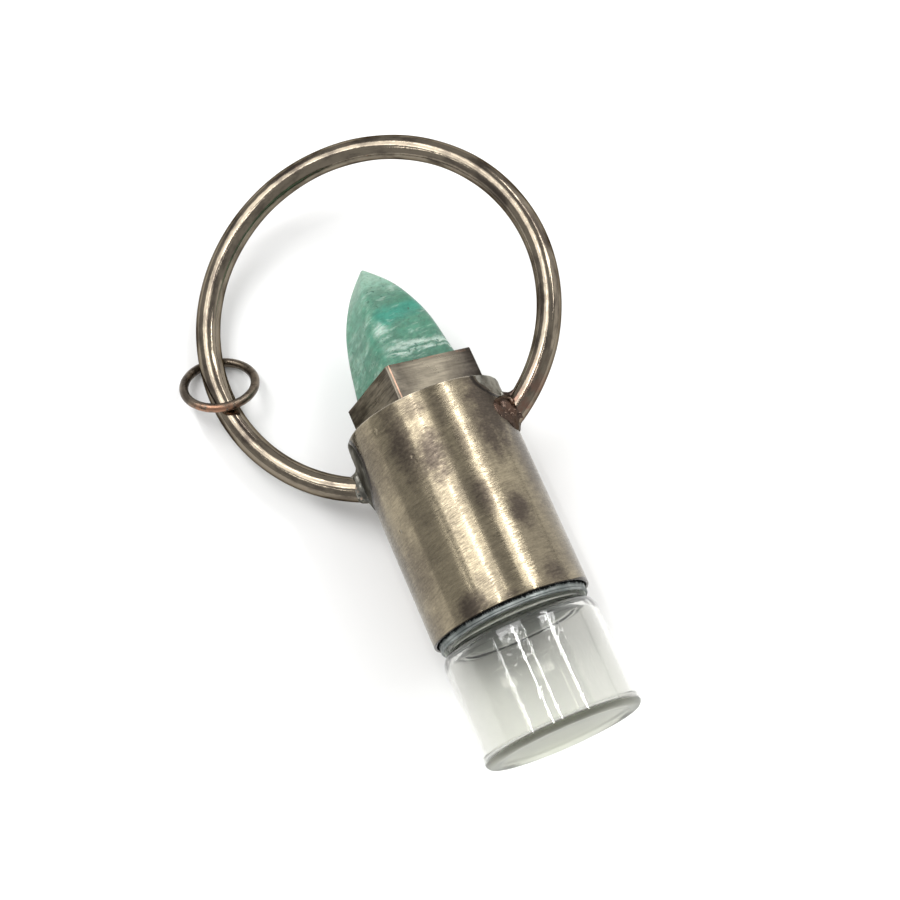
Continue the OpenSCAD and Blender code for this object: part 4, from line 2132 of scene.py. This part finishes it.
@dataclass(frozen=True)
class Studio:
    """The table, the lights and the camera."""

    lights: tuple[StudioLight, ...] = (
        StudioLight("wide_panel", 111, 26.2, 34, 31.6, 2.85),
        StudioLight("tube_long", 106, 19, 1.5, 44, 11.0),
        StudioLight("tube_low", 106, 2.9, 1.5, 17, 11.0),
        StudioLight("tube_short", 93, 1.6, 1.3, 16, 12.0),
        StudioLight("tube_weak", 136, 1.4, 1.5, 17, 9.0),
        StudioLight("side_tube_low", 56, 2.9, 1.6, 17, 12.0),
        StudioLight("side_lamp", 54, 25.2, 9, 29.6, 2.4),
        StudioLight("side_low", 56, 12.0, 24, 5, 6.2),
        StudioLight("low_panel", 114, 12.3, 28, 5, 3.7),
        StudioLight("side_tube", 56, 18, 1.6, 46, 12.0),
        StudioLight("dim_wall", 24, 8, 40, 70, 0.55),
    )
    surround: float = 0.63
    table: Colour = (0.93, 0.93, 0.925)
    table_side: float = 6.0
    table_roughness: float = 0.9
    table_gloss: float = 0.2
    camera_place: Place = (-0.0413, -0.0772, 0.2525)
    camera_turn: Place = (19.49, -3.05, -22.88)
    lens: float = 74.64
    sensor: float = 36.0
    near: float = 0.01

    def build(self) -> None:
        """Builds the table, the lights, the surround and the camera."""
        self.build_table()
        for light in self.lights:
            light.build()
        world = bpy.data.worlds.new("surround")
        world.use_nodes = True
        background = world.node_tree.nodes["Background"]
        background.inputs["Color"].default_value = (1, 1, 1, 1)
        background.inputs["Strength"].default_value = self.surround
        bpy.context.scene.world = world
        self.build_camera()
        bpy.context.scene.view_settings.view_transform = "Standard"

    def build_table(self) -> None:
        """Builds the plain pale table."""
        table = start_piece("pale_table", bpy.ops.mesh.primitive_plane_add, size=self.table_side)
        dress = bpy.data.materials.new("pale_table")
        dress.use_nodes = True
        shader = dress.node_tree.nodes["Principled BSDF"]
        shader.inputs["Base Color"].default_value = (*self.table, 1)
        shader.inputs["Roughness"].default_value = self.table_roughness
        shader.inputs["Specular IOR Level"].default_value = self.table_gloss
        table.data.materials.append(dress)

    def build_camera(self) -> None:
        """Builds the camera where the photograph was taken from."""
        data = bpy.data.cameras.new("camera")
        data.lens = self.lens
        data.sensor_width = self.sensor
        data.clip_start = self.near
        camera = bpy.data.objects.new("camera", data)
        camera.location = self.camera_place
        camera.rotation_euler = tuple(math.radians(a) for a in self.camera_turn)
        bpy.context.scene.collection.objects.link(camera)
        bpy.context.scene.camera = camera


class Pendant:
    """The whole pendant: models, lays down and dresses each piece."""

    def __init__(self, effects: SharedEffects) -> None:
        """Builds the finishes.

        Args:
            effects: the shared node groups.
        """
        self.brass = BrushedBrass().build(effects)
        self.wire = WornWire().build(effects)
        self.solder = LumpySolder().build(effects)
        self.collar = ScratchedCollar().build(effects)
        self.copper = CopperWire().build(effects)
        self.cap = CapAluminium().build(effects)
        self.glass = ClearGlass().build(effects)
        self.stone = CloudyGreenStone().build(effects)

    def build_frame(self) -> None:
        """Builds the soldered brass frame: sleeve, collar, hoop and solder."""
        for model, dress in (
            (Sleeve().model, self.brass),
            (SquareCollar().model, self.collar),
            (HoopWire().model, self.wire),
            (LEFT_SOLDER.model, self.solder),
            (RIGHT_SOLDER.model, self.solder),
        ):
            piece = model()
            POSE.settle(piece)
            finish_piece(piece, Body.FRAME, Slot.BRASS, dress)
            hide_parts("soldered_frame")

    def build_fittings(self) -> None:
        """Builds the stone, the jump ring, the cap and the vial."""
        ring = JumpRing()
        for model, placing, body, slot, dress, node in (
            (StonePoint().model, None, Body.FRAME, Slot.STONE, self.stone, "stone_point"),
            (ring.model, ring.placing(), Body.FRAME, Slot.COPPER, self.copper, "jump_ring"),
            (ScrewCap().model, None, Body.FRAME, Slot.CAP, self.cap, "screw_cap"),
            (GlassVial().model, None, Body.VIAL, Slot.GLASS, self.glass, "glass_vial"),
        ):
            piece = model()
            POSE.settle(piece, placing)
            finish_piece(piece, body, slot, dress)
            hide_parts(node)


def main() -> None:
    """Builds the scene."""
    logging.basicConfig(level=logging.INFO, format="%(name)s: %(message)s")
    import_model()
    Studio().build()
    pendant = Pendant(SharedEffects(POSE))
    pendant.build_frame()
    pendant.build_fittings()


if __name__ == "__main__":
    main()
